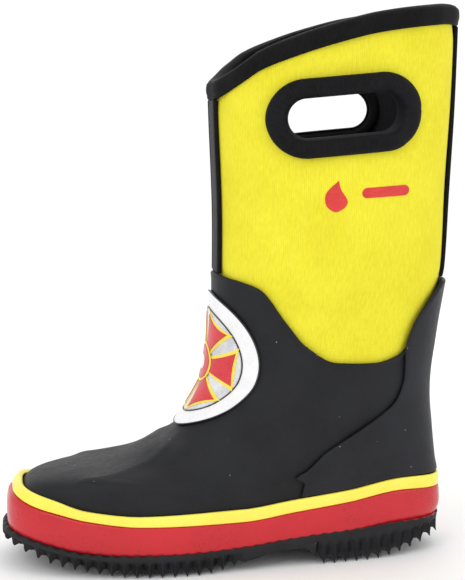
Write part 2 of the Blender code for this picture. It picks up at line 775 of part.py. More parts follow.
def make_flame_print():
    """Raised plain drop on the outer panel, tip up."""
    turns = 20
    outline = []
    for step in range(turns):
        angle = 2 * math.pi * step / turns
        width = FLAME_HEIGHT * FLAME_FULLNESS * math.sin(angle) * (1 - 0.45 * math.cos(angle))
        height = FLAME_PLACE[1] + FLAME_HEIGHT / 2 * math.cos(angle)
        outline.append((FLAME_PLACE[0] + width, height))
    return disc_body([
        [skin_at(LATERAL, x, z, offset) for x, z in outline]
        for offset in (PRINT_GAP, PRINT_GAP + PRINT_WALL)])


def make_bar_print():
    """Raised plain bar on the outer panel."""
    columns = 5
    rows = []
    for up in (-BAR_HEIGHT / 2, BAR_HEIGHT / 2):
        rows.append([
            (LATERAL, BAR_PLACE[0] + BAR_LENGTH * (step / columns - 0.5), BAR_PLACE[1] + up)
            for step in range(columns + 1)])
    return patch_body(rows, lambda at, face: skin_at(*at, PRINT_GAP + PRINT_WALL * face))


# --- scene -----------------------------------------------------------------------
FINISHES = {
    "tread_rubber": ((0.012, 0.012, 0.013), 0.75),
    "red_rubber": ((0.56, 0.015, 0.03), 0.35),
    "yellow_rubber": ((1.0, 0.82, 0.08), 0.35),
    "shell_rubber": ((0.016, 0.017, 0.021), 0.55),
    "trim_rubber": ((0.005, 0.005, 0.006), 0.50),
    "yellow_neoprene": ((0.83, 0.76, 0.042), 0.85),
    "dark_fabric": ((0.042, 0.042, 0.047), 0.90),
    "grey_lining": ((0.02, 0.02, 0.022), 0.95),
    "foam": ((0.30, 0.30, 0.31), 0.90),
    "board": ((0.36, 0.26, 0.16), 0.90),
    "badge_white": ((0.80, 0.80, 0.80), 0.40),
    "print_red": ((0.62, 0.02, 0.03), 0.50),
}


def finish(name):
    """Plain material for a piece."""
    colour, roughness = FINISHES[name]
    material = bpy.data.materials.new(name)
    material.use_nodes = True
    shader = material.node_tree.nodes["Principled BSDF"]
    shader.inputs["Base Color"].default_value = (*colour, 1.0)
    shader.inputs["Roughness"].default_value = roughness
    shader.inputs["Metallic"].default_value = 0.0
    material.diffuse_color = (*colour, 1.0)
    return material


def add_piece(name, bm, material, parent, origin=(0.0, 0.0, 0.0)):
    """Put a body in the scene under its parent, with its origin at a point of the boot."""
    bmesh.ops.transform(bm, matrix=Matrix.Translation(origin).inverted(), verts=bm.verts)
    mesh = bpy.data.meshes.new(name)
    bm.to_mesh(mesh)
    bm.free()
    mesh.materials.append(material)
    mesh.shade_smooth()
    mesh.set_sharp_from_angle(angle=math.radians(35))
    piece = bpy.data.objects.new(name, mesh)
    bpy.context.scene.collection.objects.link(piece)
    piece.parent = parent
    return piece


def add_empty(name, place, parent=None):
    """Put an empty in the scene."""
    empty = bpy.data.objects.new(name, None)
    empty.empty_display_size = 0.02
    bpy.context.scene.collection.objects.link(empty)
    empty.location = place
    empty.parent = parent
    return empty


def footbed_axis():
    """Point of the line that the footbed turns about: its toe edge, on the sock's floor."""
    x = skin(LATERAL, 0.0, SOLE_LEVEL, FOOTBED_OFFSET)[0]
    return (float(x), 0.0, float(footbed_floor(x)))


def rest_place(pieces):
    """Shift that puts the middle of the pieces' box over the origin and its base at Z = 0."""
    corners = np.array([vertex.co[:] for piece in pieces for vertex in piece.data.vertices])
    low, high = corners.min(axis=0), corners.max(axis=0)
    return (-(low[0] + high[0]) / 2, -(low[1] + high[1]) / 2, -low[2])


def main():
    """Build the boot."""
    for old in list(bpy.data.objects):
        bpy.data.objects.remove(old, do_unlink=True)
    finishes = {name: finish(name) for name in FINISHES}
    boot = add_empty("boot_frame", (0.0, 0.0, 0.0))
    fixed = [
        ("outsole", make_outsole(), "tread_rubber"),
        ("foxing_band", make_foxing_band(), "red_rubber"),
        ("foxing_stripe", make_foxing_stripe(), "yellow_rubber"),
        ("midsole_filler", make_midsole_filler(), "foam"),
        ("insole_board", make_insole_board(), "board"),
        ("vamp_shell", make_vamp_shell(), "shell_rubber"),
        ("heel_counter", make_heel_counter(), "shell_rubber"),
        ("toe_puff", make_toe_puff(), "board"),
        ("inner_sock", make_inner_sock(), "grey_lining"),
        ("lateral_panel", make_panel(LATERAL), "yellow_neoprene"),
        ("medial_panel", make_panel(MEDIAL), "yellow_neoprene"),
        ("front_strip", make_front_strip(), "dark_fabric"),
        ("back_strip", make_back_strip(), "trim_rubber"),
        ("front_seam_tape", make_front_seam_tape(), "grey_lining"),
        ("back_seam_tape", make_back_seam_tape(), "grey_lining"),
        ("collar_binding", make_collar_binding(), "trim_rubber"),
        ("lateral_handle_rim", make_handle_rim(LATERAL), "trim_rubber"),
        ("medial_handle_rim", make_handle_rim(MEDIAL), "trim_rubber"),
        ("badge", make_badge(), "badge_white"),
        ("flame_print", make_flame_print(), "print_red"),
        ("bar_print", make_bar_print(), "print_red"),
    ]
    pieces = {}
    for name, bm, material in fixed:
        pieces[name] = add_piece(name, bm, finishes[material], boot)

    cutter = add_piece("handle_hole_cutter", make_hole_cutter(), finishes["trim_rubber"], boot)
    cutter.hide_render = True
    cutter.display_type = "WIRE"
    for name in ("lateral_panel", "medial_panel"):
        cut = pieces[name].modifiers.new("handle_hole", "BOOLEAN")
        cut.operation = "DIFFERENCE"
        cut.solver = "EXACT"
        cut.object = cutter

    axis = footbed_axis()
    hinge = add_empty("footbed_hinge", axis, boot)
    add_piece("footbed", make_footbed(), finishes["foam"], hinge, axis)
    add_piece("footbed_cover", make_footbed_cover(), finishes["grey_lining"], hinge, axis)
    boot.location = rest_place(pieces.values())


main()
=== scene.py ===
"""Finished look of a child's pull-on rain boot in firefighter colours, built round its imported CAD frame.

Metres, +Z up, the toe points to -X and the outer side of the foot faces -Y. Every piece of the
upper lies on one skin, the outer face of the neoprene, at its own distance from it.
"""

import logging
import math
from dataclasses import dataclass, field
from enum import Enum
from typing import Callable, Sequence

import bmesh
import bpy
import numpy as np
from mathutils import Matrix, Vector


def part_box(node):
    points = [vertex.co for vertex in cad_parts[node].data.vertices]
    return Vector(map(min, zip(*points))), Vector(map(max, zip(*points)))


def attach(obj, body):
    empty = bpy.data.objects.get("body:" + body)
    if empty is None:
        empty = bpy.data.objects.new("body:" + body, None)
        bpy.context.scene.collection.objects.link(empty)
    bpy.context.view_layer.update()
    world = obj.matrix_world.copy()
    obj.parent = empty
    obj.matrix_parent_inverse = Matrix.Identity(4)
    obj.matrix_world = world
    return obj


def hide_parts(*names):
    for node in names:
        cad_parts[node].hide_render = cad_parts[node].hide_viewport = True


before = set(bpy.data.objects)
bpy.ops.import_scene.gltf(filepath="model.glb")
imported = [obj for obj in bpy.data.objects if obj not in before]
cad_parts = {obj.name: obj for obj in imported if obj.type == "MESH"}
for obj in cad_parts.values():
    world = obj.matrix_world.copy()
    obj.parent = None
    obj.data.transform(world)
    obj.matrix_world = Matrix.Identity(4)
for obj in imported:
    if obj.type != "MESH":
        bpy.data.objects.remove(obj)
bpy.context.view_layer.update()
LOG = logging.getLogger("boot")

Curve = Callable[[np.ndarray], np.ndarray]
Socket = bpy.types.NodeSocket
Colour = tuple[float, float, float]


class Body(Enum):
    """CAD bodies that a piece can ride on."""

    BOOT = "boot"
    FOOTBED = "footbed"


class Side(Enum):
    """Sides of the foot; the value is the sign of Y."""

    LATERAL = -1
    MEDIAL = 1


class Seam(Enum):
    """Upright seams of the shaft; the value is the turn at which each runs."""

    FRONT = 0.0
    BACK = 0.5


# --- curves and grids ---------------------------------------------------------------
def smooth_curve(points: Sequence[tuple[float, float]]) -> Curve:
    """Make a curve that runs smoothly through points without overshoot.

    Args:
        points: Pairs of place and value, with the places rising.

    Returns:
        A function of places that also takes arrays.
    """
    places, values = np.array(points, float).T
    slopes = np.diff(values) / np.diff(places)
    before, after = slopes[:-1], slopes[1:]
    level = before * after <= 0
    mean = 2 * before * after / np.where(level, 1.0, before + after)
    tangents = np.concatenate(([slopes[0]], np.where(level, 0.0, mean), [slopes[-1]]))

    def value(place: np.ndarray) -> np.ndarray:
        """Value of the curve.

        Args:
            place: Places, which are held between the first and the last point.

        Returns:
            The value at each.
        """
        place = np.clip(place, places[0], places[-1])
        index = np.clip(np.searchsorted(places, place) - 1, 0, len(places) - 2)
        span = places[index + 1] - places[index]
        t = (place - places[index]) / span
        return (
            (1 + 2 * t) * (1 - t) ** 2 * values[index]
            + t * (1 - t) ** 2 * span * tangents[index]
            + t * t * (3 - 2 * t) * values[index + 1]
            - t * t * (1 - t) * span * tangents[index + 1]
        )

    return value


def eased(value: np.ndarray) -> np.ndarray:
    """Ease values from 0 to 1."""
    value = np.clip(value, 0.0, 1.0)
    return value * value * (3 - 2 * value)


def ridge(distance: np.ndarray, width: float) -> np.ndarray:
    """Smooth bump of height 1 over a distance, about twice as wide as width."""
    return np.exp(-((distance / width) ** 2))


def rounded_steps(length: float, radius: float, inner: int, turns: int = 3) -> tuple[np.ndarray, np.ndarray]:
    """Places along a length, crowded where both ends are rounded.

    Args:
        length: The whole length.
        radius: Radius of the rounding at each end.
        inner: Number of even steps between the two roundings.
        turns: Steps in each rounding.

    Returns:
        Shares of the length from 0 to 1, and how full the wall is at each, from 0 to 1.
    """
    angle = np.linspace(0.0, math.pi / 2, turns + 1)
    share = min(radius / length, 0.45)
    near = share * (1 - np.cos(angle))
    middle = np.linspace(share, 1 - share, inner + 1)[1:-1]
    full = np.sin(angle)
    return (
        np.concatenate((near, middle, 1 - near[::-1])),
        np.concatenate((full, np.ones(len(middle)), full[::-1])),
    )


def add_sheet(bm: bmesh.types.BMesh, points: np.ndarray, uv: np.ndarray, material: int = 0) -> None:
    """Add a grid of faces to a bmesh and lay it on points.

    Args:
        bm: The bmesh.
        points: Array of rows by columns by 3.
        uv: Array of rows by columns by 2, in metres along the surface.
        material: Index of the faces' material.
    """
    rows, columns = points.shape[:2]
    made = bmesh.ops.create_grid(bm, x_segments=columns - 1, y_segments=rows - 1, size=1.0)
    layer = bm.loops.layers.uv.verify()
    flat_uv = uv.reshape(-1, 2).tolist()
    place = {}
    for index, (vertex, point) in enumerate(zip(made["verts"], points.reshape(-1, 3).tolist())):
        vertex.co = point
        place[vertex] = index
    faces = {face for vertex in made["verts"] for face in vertex.link_faces}
    for face in faces:
        face.material_index = material
        for loop in face.loops:
            loop[layer].uv = flat_uv[place[loop.vert]]


def close_up(bm: bmesh.types.BMesh, weld: float = 2e-6) -> bmesh.types.BMesh:
    """Weld the borders of a bmesh's sheets and face it outwards.

    Args:
        bm: The bmesh.
        weld: Distance within which points become one.

    Returns:
        The same bmesh.
    """
    bmesh.ops.remove_doubles(bm, verts=list(bm.verts), dist=weld)
    bmesh.ops.dissolve_degenerate(bm, edges=list(bm.edges), dist=weld / 4)
    bmesh.ops.recalc_face_normals(bm, faces=list(bm.faces))
    return bm


def flat_uv(points: np.ndarray) -> np.ndarray:
    """Lengths along a grid's columns and rows.

    Args:
        points: Array of rows by columns by 3.

    Returns:
        Array of rows by columns by 2, in metres from the middle of the grid.
    """
    across = np.linalg.norm(np.diff(points, axis=1), axis=2).mean(axis=0)
    up = np.linalg.norm(np.diff(points, axis=0), axis=2).mean(axis=1)
    u = np.concatenate(([0.0], np.cumsum(across)))
    v = np.concatenate(([0.0], np.cumsum(up)))
    return np.stack(np.meshgrid(u - u[-1] / 2, v - v[-1] / 2), axis=-1)


def shelled(outer: np.ndarray, inner: np.ndarray, lining: int = 0) -> bmesh.types.BMesh:
    """Body between two sheets whose borders lie on each other.

    Args:
        outer: Points of the outer sheet.
        inner: Points of the inner sheet.
        lining: Index of the inner sheet's material.

    Returns:
        The closed body.
    """
    bm = bmesh.new()
    uv = flat_uv(outer)
    add_sheet(bm, outer, uv)
    add_sheet(bm, inner, uv, lining)
    return close_up(bm)


def wound(points: np.ndarray) -> bmesh.types.BMesh:
    """Body whose single sheet closes on itself.

    Args:
        points: Points of the sheet, whose borders meet or shrink to nothing.

    Returns:
        The closed body.
    """
    bm = bmesh.new()
    add_sheet(bm, points, flat_uv(points))
    return close_up(bm)


@dataclass
class Piece:
    """One finished piece and where it belongs.

    Attributes:
        name: Name of the object.
        bm: Its closed body.
        finishes: Its materials.
        slot: Material slot of the record; not used.
        replaces: CAD nodes that it stands for.
        body: CAD body that it rides on.
        fill: How tight its padding is, for a padded piece; not used.
        sharp: Angle in degrees above which its edges are sharp.
    """

    name: str
    bm: bmesh.types.BMesh
    finishes: Sequence[bpy.types.Material]
    slot: str
    replaces: Sequence[str] = ()
    body: Body = Body.BOOT
    fill: float | None = None
    sharp: float = 40.0

    def place(self) -> None:
        mesh = bpy.data.meshes.new(self.name)
        self.bm.to_mesh(mesh)
        self.bm.free()
        for material in self.finishes:
            mesh.materials.append(material)
        mesh.shade_smooth()
        mesh.set_sharp_from_angle(angle=math.radians(self.sharp))
        thing = bpy.data.objects.new(self.name, mesh)
        bpy.context.scene.collection.objects.link(thing)
        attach(thing, self.body.value)
        if self.replaces:
            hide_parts(*self.replaces)
        LOG.info("%s: %d faces", self.name, len(mesh.polygons))


# --- the skin ----------------------------------------------------------------------
@dataclass
class Skin:
    """Outer face of the neoprene, on which every piece of the upper is laid.

    A place on it is a turn and a height. The turn runs from 0 at the front seam along the
    outer side to 0.5 at the back seam, and on along the inner side to 1 at the front again.
    """

    upper_length: float = 0.2075
    heel_x: float = 0.1000
    shin_x: float = -0.0090
    ankle_height: float = 0.1170
    shaft_top: float = 0.2725
    toe_half_width: float = 0.0355
    ball_half_width: float = 0.0402
    waist_half_width: float = 0.0315
    arch_tuck: float = 0.0030
    heel_half_width: float = 0.0295
    ankle_half_width: float = 0.0330
    shaft_half_width: float = 0.0410
    shell_face: float = 0.0021
    sole_level: float = 0.0300
    shaft_level: float = 0.1200
    foot_squareness: float = 0.54
    leg_squareness: float = 0.80
    low: float = 0.0080
    high: float = 0.2775
    rise: float = 0.0005
    half_columns: int = 320
    collar_depth: float = 0.0110
    foot_top: float = 0.0360
    foot_fade: float = 0.0420
    toe_x: float = field(init=False)
    collar_level: float = field(init=False)
    shift: np.ndarray = field(init=False)
    runs: dict[Side, np.ndarray] = field(init=False)
    points: np.ndarray = field(init=False)
    normals: np.ndarray = field(init=False)

    def __post_init__(self) -> None:
        """Work out the lines and the table of the skin."""
        self.toe_x = self.heel_x - self.upper_length
        self.collar_level = self.shaft_top - self.collar_depth
        self._draw_lines()
        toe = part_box("vamp_shell")[0].x - (self.toe_x - self.shell_face)
        low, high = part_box("collar_binding")
        self.shift = np.array([toe, (low.y + high.y) / 2, 0.0])
        self._fill_table()

    def _draw_lines(self) -> None:
        """Draw the side view, the widths and the edges of the boot."""
        def vamp(height: float, reach: float) -> tuple[float, float]:
            """Point of the instep; reach runs from 0 at the shin to 1 at the toe."""
            return height, self.shin_x + reach * (self.toe_x - self.shin_x)

        def shaft(share: float, x: float) -> tuple[float, float]:
            """Point of the shaft; share runs from 0 at the ankle to 1 at the collar."""
            return self.ankle_height + share * (self.shaft_top - self.ankle_height), x

        def sole(points: Sequence[tuple[float, float]]) -> Curve:
            """Curve over x whose places are shares of the length from the toe."""
            return smooth_curve([(self.toe_x + at * self.upper_length, value) for at, value in points])

        def depth(level: float, points: Sequence[tuple[float, float]]) -> Curve:
            """Curve over x whose places are shares of the shaft's depth at a level."""
            front, back = float(self.front(level)), float(self.back(level))
            return smooth_curve([(front + at * (back - front), value) for at, value in points])

        shin, heel, top = self.shin_x, self.heel_x, self.shaft_top
        self.front = smooth_curve([
            vamp(0.0080, 1.0), vamp(0.0320, 1.0), vamp(0.0362, 0.970), vamp(0.0393, 0.944),
            vamp(0.0414, 0.893), vamp(0.0434, 0.790), vamp(0.0451, 0.645), vamp(0.0480, 0.487),
            vamp(0.0550, 0.340), vamp(0.0608, 0.223), vamp(0.0664, 0.170), vamp(0.0776, 0.090),
            vamp(0.0900, 0.030), vamp(0.1025, 0.009), shaft(0.00, shin), shaft(0.31, shin + 0.0008),
            shaft(0.73, shin - 0.0012), shaft(1.00, shin - 0.0017),
        ])
        self.back = smooth_curve([
            (0.0080, heel), (0.0380, heel), (0.0460, heel - 0.0014), (0.0640, heel - 0.0034),
            (0.0780, heel - 0.0045), (0.0920, heel - 0.0037), (0.1050, heel - 0.0023),
            shaft(0.00, heel - 0.0010), shaft(0.11, heel + 0.0021), shaft(0.18, heel + 0.0042),
            shaft(0.41, heel + 0.0057), shaft(0.71, heel + 0.0078), shaft(1.00, heel + 0.0088),
        ])
        self.widening = smooth_curve([
            (0.0750, 0.0), (0.0950, 0.02), shaft(0.02, 0.25), shaft(0.16, 0.50),
            shaft(0.47, 0.80), shaft(0.80, 1.00), shaft(1.00, 1.10),
        ])
        ball, waist, end = self.ball_half_width, self.waist_half_width, self.heel_half_width
        self.sole_half_width = {
            Side.LATERAL: sole([
                (0.00, self.toe_half_width), (0.28, ball), (0.62, waist), (0.85, end), (1.00, end)]),
            Side.MEDIAL: sole([
                (0.00, self.toe_half_width), (0.22, ball), (0.58, waist - self.arch_tuck),
                (0.85, end), (1.00, end)]),
        }
        self.welt = sole([
            (-0.03, 0.0205), (0.06, 0.0148), (0.154, 0.0110), (0.25, 0.0100), (0.37, 0.0100),
            (0.52, 0.0112), (0.66, 0.0140), (0.80, 0.0157), (0.90, 0.0172), (1.03, 0.0172)])
        self.foxing_top = sole([
            (-0.02, 0.0342), (0.08, 0.0305), (0.16, 0.0268), (0.28, 0.0243), (0.51, 0.0240),
            (0.65, 0.0272), (0.77, 0.0300), (0.90, 0.0340), (1.02, 0.0320)])
        self.stripe_height = sole([(0.0, 0.0042), (0.28, 0.0053), (0.51, 0.0064), (1.0, 0.0064)])
        self.tread = sole([
            (-0.04, 0.0160), (0.00, 0.0125), (0.04, 0.0088), (0.084, 0.0055), (0.18, 0.0020),
            (0.25, 0.0003), (0.29, 0.0), (0.41, 0.0), (0.52, 0.0050), (0.60, 0.0085),
            (0.66, 0.0088), (0.715, 0.0), (0.82, 0.0), (0.88, 0.0016), (0.94, 0.0050),
            (0.98, 0.0078), (1.03, 0.0100)])
        self.filler = sole([(0.40, 0.0014), (0.70, 0.0040)])
        self.shell_top = depth(self.shaft_level, [
            (0.00, 0.1420), (0.15, 0.1370), (0.28, 0.1200), (0.37, 0.1090), (0.52, 0.1005),
            (0.70, 0.0997), (0.81, 0.1025), (0.90, 0.1130), (1.00, 0.1300)])
        self.collar = depth(self.collar_level, [
            (0.00, top - 0.0365), (0.10, top - 0.0273), (0.16, top - 0.0222), (0.31, top - 0.0150),
            (0.46, top - 0.0094), (0.62, top - 0.0047), (0.83, top - 0.0012), (0.95, top),
            (1.00, top - 0.0006)])
        self.counter_edge = smooth_curve([
            (0.0360, 0.0285), (0.0480, 0.0325), (0.0600, 0.0435), (0.0695, 0.0592),
            (0.0815, 0.0760), (0.0937, 0.0794), (0.1036, 0.0794), (0.1160, 0.0824),
            (0.1280, 0.0900), (0.1390, 0.1000)])

    def _half_loop(self, side: Side, height: float) -> tuple[np.ndarray, np.ndarray]:
        """Dense outline of one side, from the front seam to the back seam.

        Args:
            side: Side of the foot.
            height: Height at which it is cut.

        Returns:
            Its places along X, before the shift, and along Y.
        """
        t = np.linspace(0.0, 1.0, 401)
        turn = math.pi * t * t * (3 - 2 * t)
        front, back = self.front(height), self.back(height)
        x = front + (back - front) * (1 - np.cos(turn)) / 2
        foot = 1 - eased((height - self.foot_top) / self.foot_fade)
        widest = self.shaft_half_width - self.ankle_half_width
        leg_width = self.ankle_half_width + widest * self.widening(height)
        width = foot * self.sole_half_width[side](x) + (1 - foot) * leg_width
        power = foot * self.foot_squareness + (1 - foot) * self.leg_squareness
        y = side.value * width * np.abs(np.sin(turn)) ** power
        y[0] = y[-1] = 0.0
        return x, y

    def _fill_table(self) -> None:
        """Fill the table of points and outward directions that place() reads."""
        heights = np.arange(self.low, self.high, self.rise)
        shares = np.linspace(0.0, 1.0, self.half_columns + 1)
        halves, self.runs = {}, {}
        for side in Side:
            rows, lengths = [], []
            for height in heights:
                x, y = self._half_loop(side, height)
                run = np.concatenate(([0.0], np.cumsum(np.hypot(np.diff(x), np.diff(y)))))
                at = shares * run[-1]
                level = np.full_like(at, height)
                row = (np.interp(at, run, x), np.interp(at, run, y), level)
                rows.append(np.stack(row, axis=-1))
                lengths.append(run[-1])
            halves[side] = np.array(rows)
            self.runs[side] = np.array(lengths)
        table = np.concatenate((halves[Side.LATERAL], halves[Side.MEDIAL][:, -2::-1]), axis=1)
        table[:, :, :2] = self._softened(table[:, :, :2])
        table += self.shift
        wrapped = np.concatenate((table[:, -2:-1], table, table[:, 1:2]), axis=1)
        along = np.gradient(wrapped, axis=1)[:, 1:-1]
        up = np.gradient(table, axis=0)
        normals = np.cross(along, up)
        for column in (0, self.half_columns, -1):
            normals[:, column, 1] = 0.0
        self.points = table
        self.normals = normals / np.linalg.norm(normals, axis=2, keepdims=True)

    @staticmethod
    def _softened(values: np.ndarray, reach: int = 5) -> np.ndarray:
        """Average values over neighbouring rows.

        Args:
            values: Array whose first axis is the rows.
            reach: Number of rows on each side that count.

        Returns:
            The softened values.
        """
        weights = np.exp(-np.linspace(-2.0, 2.0, 2 * reach + 1) ** 2)
        weights /= weights.sum()
        low = 2 * values[:1] - values[reach:0:-1]
        high = 2 * values[-1:] - values[-2:-reach - 2:-1]
        padded = np.concatenate((low, values, high))
        return sum(weight * padded[k:k + len(values)] for k, weight in enumerate(weights))

    def place(self, turn: np.ndarray, height: np.ndarray, offset: np.ndarray = 0.0) -> np.ndarray:
        """Points that stand off the skin.

        Args:
            turn: Where they are round the boot.
            height: Their heights.
            offset: How far they stand off, outwards when positive.

        Returns:
            The points, with one more axis than the arguments.
        """
        turn, height, offset = np.broadcast_arrays(turn, height, offset)
        columns = 2 * self.half_columns
        column = np.mod(turn, 1.0) * columns
        left = np.floor(column).astype(int) % columns
        across = (column - np.floor(column))[..., None]
        row = np.clip((height - self.low) / self.rise, 0.0, len(self.points) - 1.001)
        below = np.floor(row).astype(int)
        up = (row - below)[..., None]

        def read(table: np.ndarray) -> np.ndarray:
            """Value of a table between its four nearest entries.

            Args:
                table: The table.

            Returns:
                The value at each place.
            """
            near = table[below, left] * (1 - across) + table[below, left + 1] * across
            far = table[below + 1, left] * (1 - across) + table[below + 1, left + 1] * across
            return near * (1 - up) + far * up

        point, normal = read(self.points), read(self.normals)
        normal /= np.linalg.norm(normal, axis=-1, keepdims=True)
        return point + offset[..., None] * normal

    def slab(self, turn: np.ndarray, height: np.ndarray, faces: tuple[float, float], full: np.ndarray,
             extra: np.ndarray = 0.0, lining: int = 0) -> bmesh.types.BMesh:
        """Body that lies along the skin between two distances from it.

        Args:
            turn: Where its points are round the boot.
            height: Their heights.
            faces: Distances of its inner and outer face from the skin.
            full: How much of its thickness it has at each point, from 0 to 1.
            extra: How far its outer face stands out more.
            lining: Index of the inner face's material.

        Returns:
            The closed body.
        """
        middle, half = (faces[0] + faces[1]) / 2, (faces[1] - faces[0]) / 2
        outer = self.place(turn, height, middle + half * full + extra)
        return shelled(outer, self.place(turn, height, middle - half * full), lining)

    def half_length(self, side: Side, height: np.ndarray) -> np.ndarray:
        """Distance round one side from seam to seam at a height."""
        heights = self.low + self.rise * np.arange(len(self.runs[side]))
        return np.interp(height, heights, self.runs[side])

    def turn_at(self, side: Side, x: np.ndarray, height: np.ndarray) -> np.ndarray:
        """Turn at which one side passes a place.

        Args:
            side: Side of the foot.
            x: Places along the boot, before the shift.
            height: Their heights.

        Returns:
            The turns.
        """
        x, height = np.broadcast_arrays(x, height)
        half = self.half_columns
        rows = np.clip(np.round((height - self.low) / self.rise).astype(int), 0, len(self.points) - 1)
        found = np.empty(x.shape)
        for index in np.ndindex(x.shape):
            line = self.points[rows[index], :, 0] - self.shift[0]
            if side is Side.LATERAL:
                found[index] = np.interp(x[index], line[:half + 1], np.arange(half + 1))
            else:
                found[index] = 2 * half - np.interp(x[index], line[:half - 1:-1], np.arange(half + 1))
        return found / (2 * half)

    def x_at(self, turn: np.ndarray, height: np.ndarray) -> np.ndarray:
        """Place along X (before the shift) of a turn at a height."""
        return self.place(turn, height)[..., 0] - self.shift[0]

    def from_seam(self, seam: Seam, distance: np.ndarray, height: np.ndarray) -> np.ndarray:
        """Turn at a distance from a seam.

        Args:
            seam: The seam.
            distance: Distance from it, positive in the direction in which turns rise.
            height: Height of each place.

        Returns:
            The turns.
        """
        distance, height = np.broadcast_arrays(distance, height)
        ahead = Side.LATERAL if seam is Seam.FRONT else Side.MEDIAL
        behind = Side.MEDIAL if seam is Seam.FRONT else Side.LATERAL
        lengths = [self.half_length(side, height) for side in (ahead, behind)]
        length = np.where(distance > 0, *lengths)
        return seam.value + 0.5 * distance / length

    def even_turns(self, count: int, crowding: float = 0.012) -> np.ndarray:
        """Turns all the way round, closer together at the toe and the heel."""
        t = np.linspace(0.0, 1.0, count + 1)
        return t - crowding * np.sin(4 * math.pi * t)


# --- finishes -----------------------------------------------------------------------
class Graph:
    """Node tree of one material, with short calls for the nodes that the finishes use."""

    def __init__(self, name: str) -> None:
        """Start a material with a plain principled shader.

        Args:
            name: Name of the material.
        """
        self.material = bpy.data.materials.new(name)
        self.material.use_nodes = True
        self.tree = self.material.node_tree
        self.shader = self.tree.nodes["Principled BSDF"]

    def node(self, kind: str, inputs: dict[str | int, object], **settings: object) -> bpy.types.Node:
        """Add a node.

        Args:
            kind: Its type, without the ShaderNode in front.
            inputs: Values or sockets for its inputs, by name or number.
            **settings: Its properties.

        Returns:
            The node.
        """
        node = self.tree.nodes.new("ShaderNode" + kind)
        for key, value in settings.items():
            setattr(node, key, value)
        for key, value in inputs.items():
            if isinstance(value, bpy.types.NodeSocket):
                self.tree.links.new(value, node.inputs[key])
            else:
                node.inputs[key].default_value = value
        return node

    def coordinates(self, kind: str = "Object", scale: Sequence[float] = (1, 1, 1),
                    turn: float = 0.0) -> Socket:
        """Object or UV coordinates, scaled and turned about Z."""
        source = self.node("TexCoord", {}).outputs[kind]
        return self.node("Mapping", {"Vector": source, "Scale": scale, "Rotation": (0, 0, turn)}).outputs[0]

    def noise(self, where: Socket, scale: float, detail: float = 3.0, rough: float = 0.55) -> Socket:
        """Noise from 0 to 1 with a scale in bumps per metre."""
        inputs = {"Vector": where, "Scale": scale, "Detail": detail, "Roughness": rough}
        return self.node("TexNoise", inputs).outputs["Fac"]

    def bands(self, where: Socket, pitch: float, direction: str = "X", wobble: float = 0.0) -> Socket:
        """Even bands.

        Args:
            where: Coordinates that they follow.
            pitch: Distance between bands in metres.
            direction: Axis along which they follow each other.
            wobble: How unsteady they are.

        Returns:
            Their height from 0 to 1.
        """
        inputs = {"Vector": where, "Scale": math.pi / 10 / pitch, "Distortion": wobble,
                  "Detail": 1.0, "Detail Scale": 1.0}
        settings = {"wave_type": "BANDS", "bands_direction": direction, "wave_profile": "SIN"}
        return self.node("TexWave", inputs, **settings).outputs["Fac"]

    def maths(self, operation: str, *values: object) -> Socket:
        """One arithmetic step."""
        return self.node("Math", dict(enumerate(values)), operation=operation).outputs[0]

    def weigh(self, first: Socket, second: Socket, share: float) -> Socket:
        """Add two patterns, the first with a share of the weight."""
        parts = [self.maths("MULTIPLY", *part) for part in ((first, share), (second, 1 - share))]
        return self.maths("ADD", *parts)

    def spread(self, value: Socket, low: float, high: float, start: float = 0.3, end: float = 0.7) -> Socket:
        """Stretch a value between start and end to low and high."""
        inputs = {"Value": value, "From Min": start, "From Max": end, "To Min": low, "To Max": high}
        return self.node("MapRange", inputs).outputs[0]

    def mix(self, share: Socket | float, first: object, second: object) -> Socket:
        """Mix two colours.

        Args:
            share: Weight of the second, from 0 to 1.
            first: A colour or a socket.
            second: A colour or a socket.

        Returns:
            The mixed colour.
        """
        node = self.node("Mix", {}, data_type="RGBA")
        for index, value in ((0, share), (6, first), (7, second)):
            if isinstance(value, bpy.types.NodeSocket):
                self.tree.links.new(value, node.inputs[index])
            else:
                node.inputs[index].default_value = value if index == 0 else (*value, 1.0)
        return node.outputs[2]

    def finish(self, colour: Socket, roughness: Socket, heights: Sequence[tuple[Socket, float]],
               fixed: dict[str, float] | None = None) -> bpy.types.Material:
        """Connect a finish to the shader.

        Args:
            colour: Its colour.
            roughness: Its roughness.
            heights: Height patterns and their depths in metres, from coarse to fine.
            fixed: Values that are the same all over the surface.

        Returns:
            The material.
        """
        self.tree.links.new(colour, self.shader.inputs["Base Color"])
        self.tree.links.new(roughness, self.shader.inputs["Roughness"])
        normal = None
        for height, depth in heights:
            inputs = {"Height": height, "Distance": depth, "Strength": 1.0}
            if normal is not None:
                inputs["Normal"] = normal
            normal = self.node("Bump", inputs).outputs[0]
        if normal is not None:
            self.tree.links.new(normal, self.shader.inputs["Normal"])
        for key, value in (fixed or {}).items():
            self.shader.inputs[key].default_value = value
        return self.material


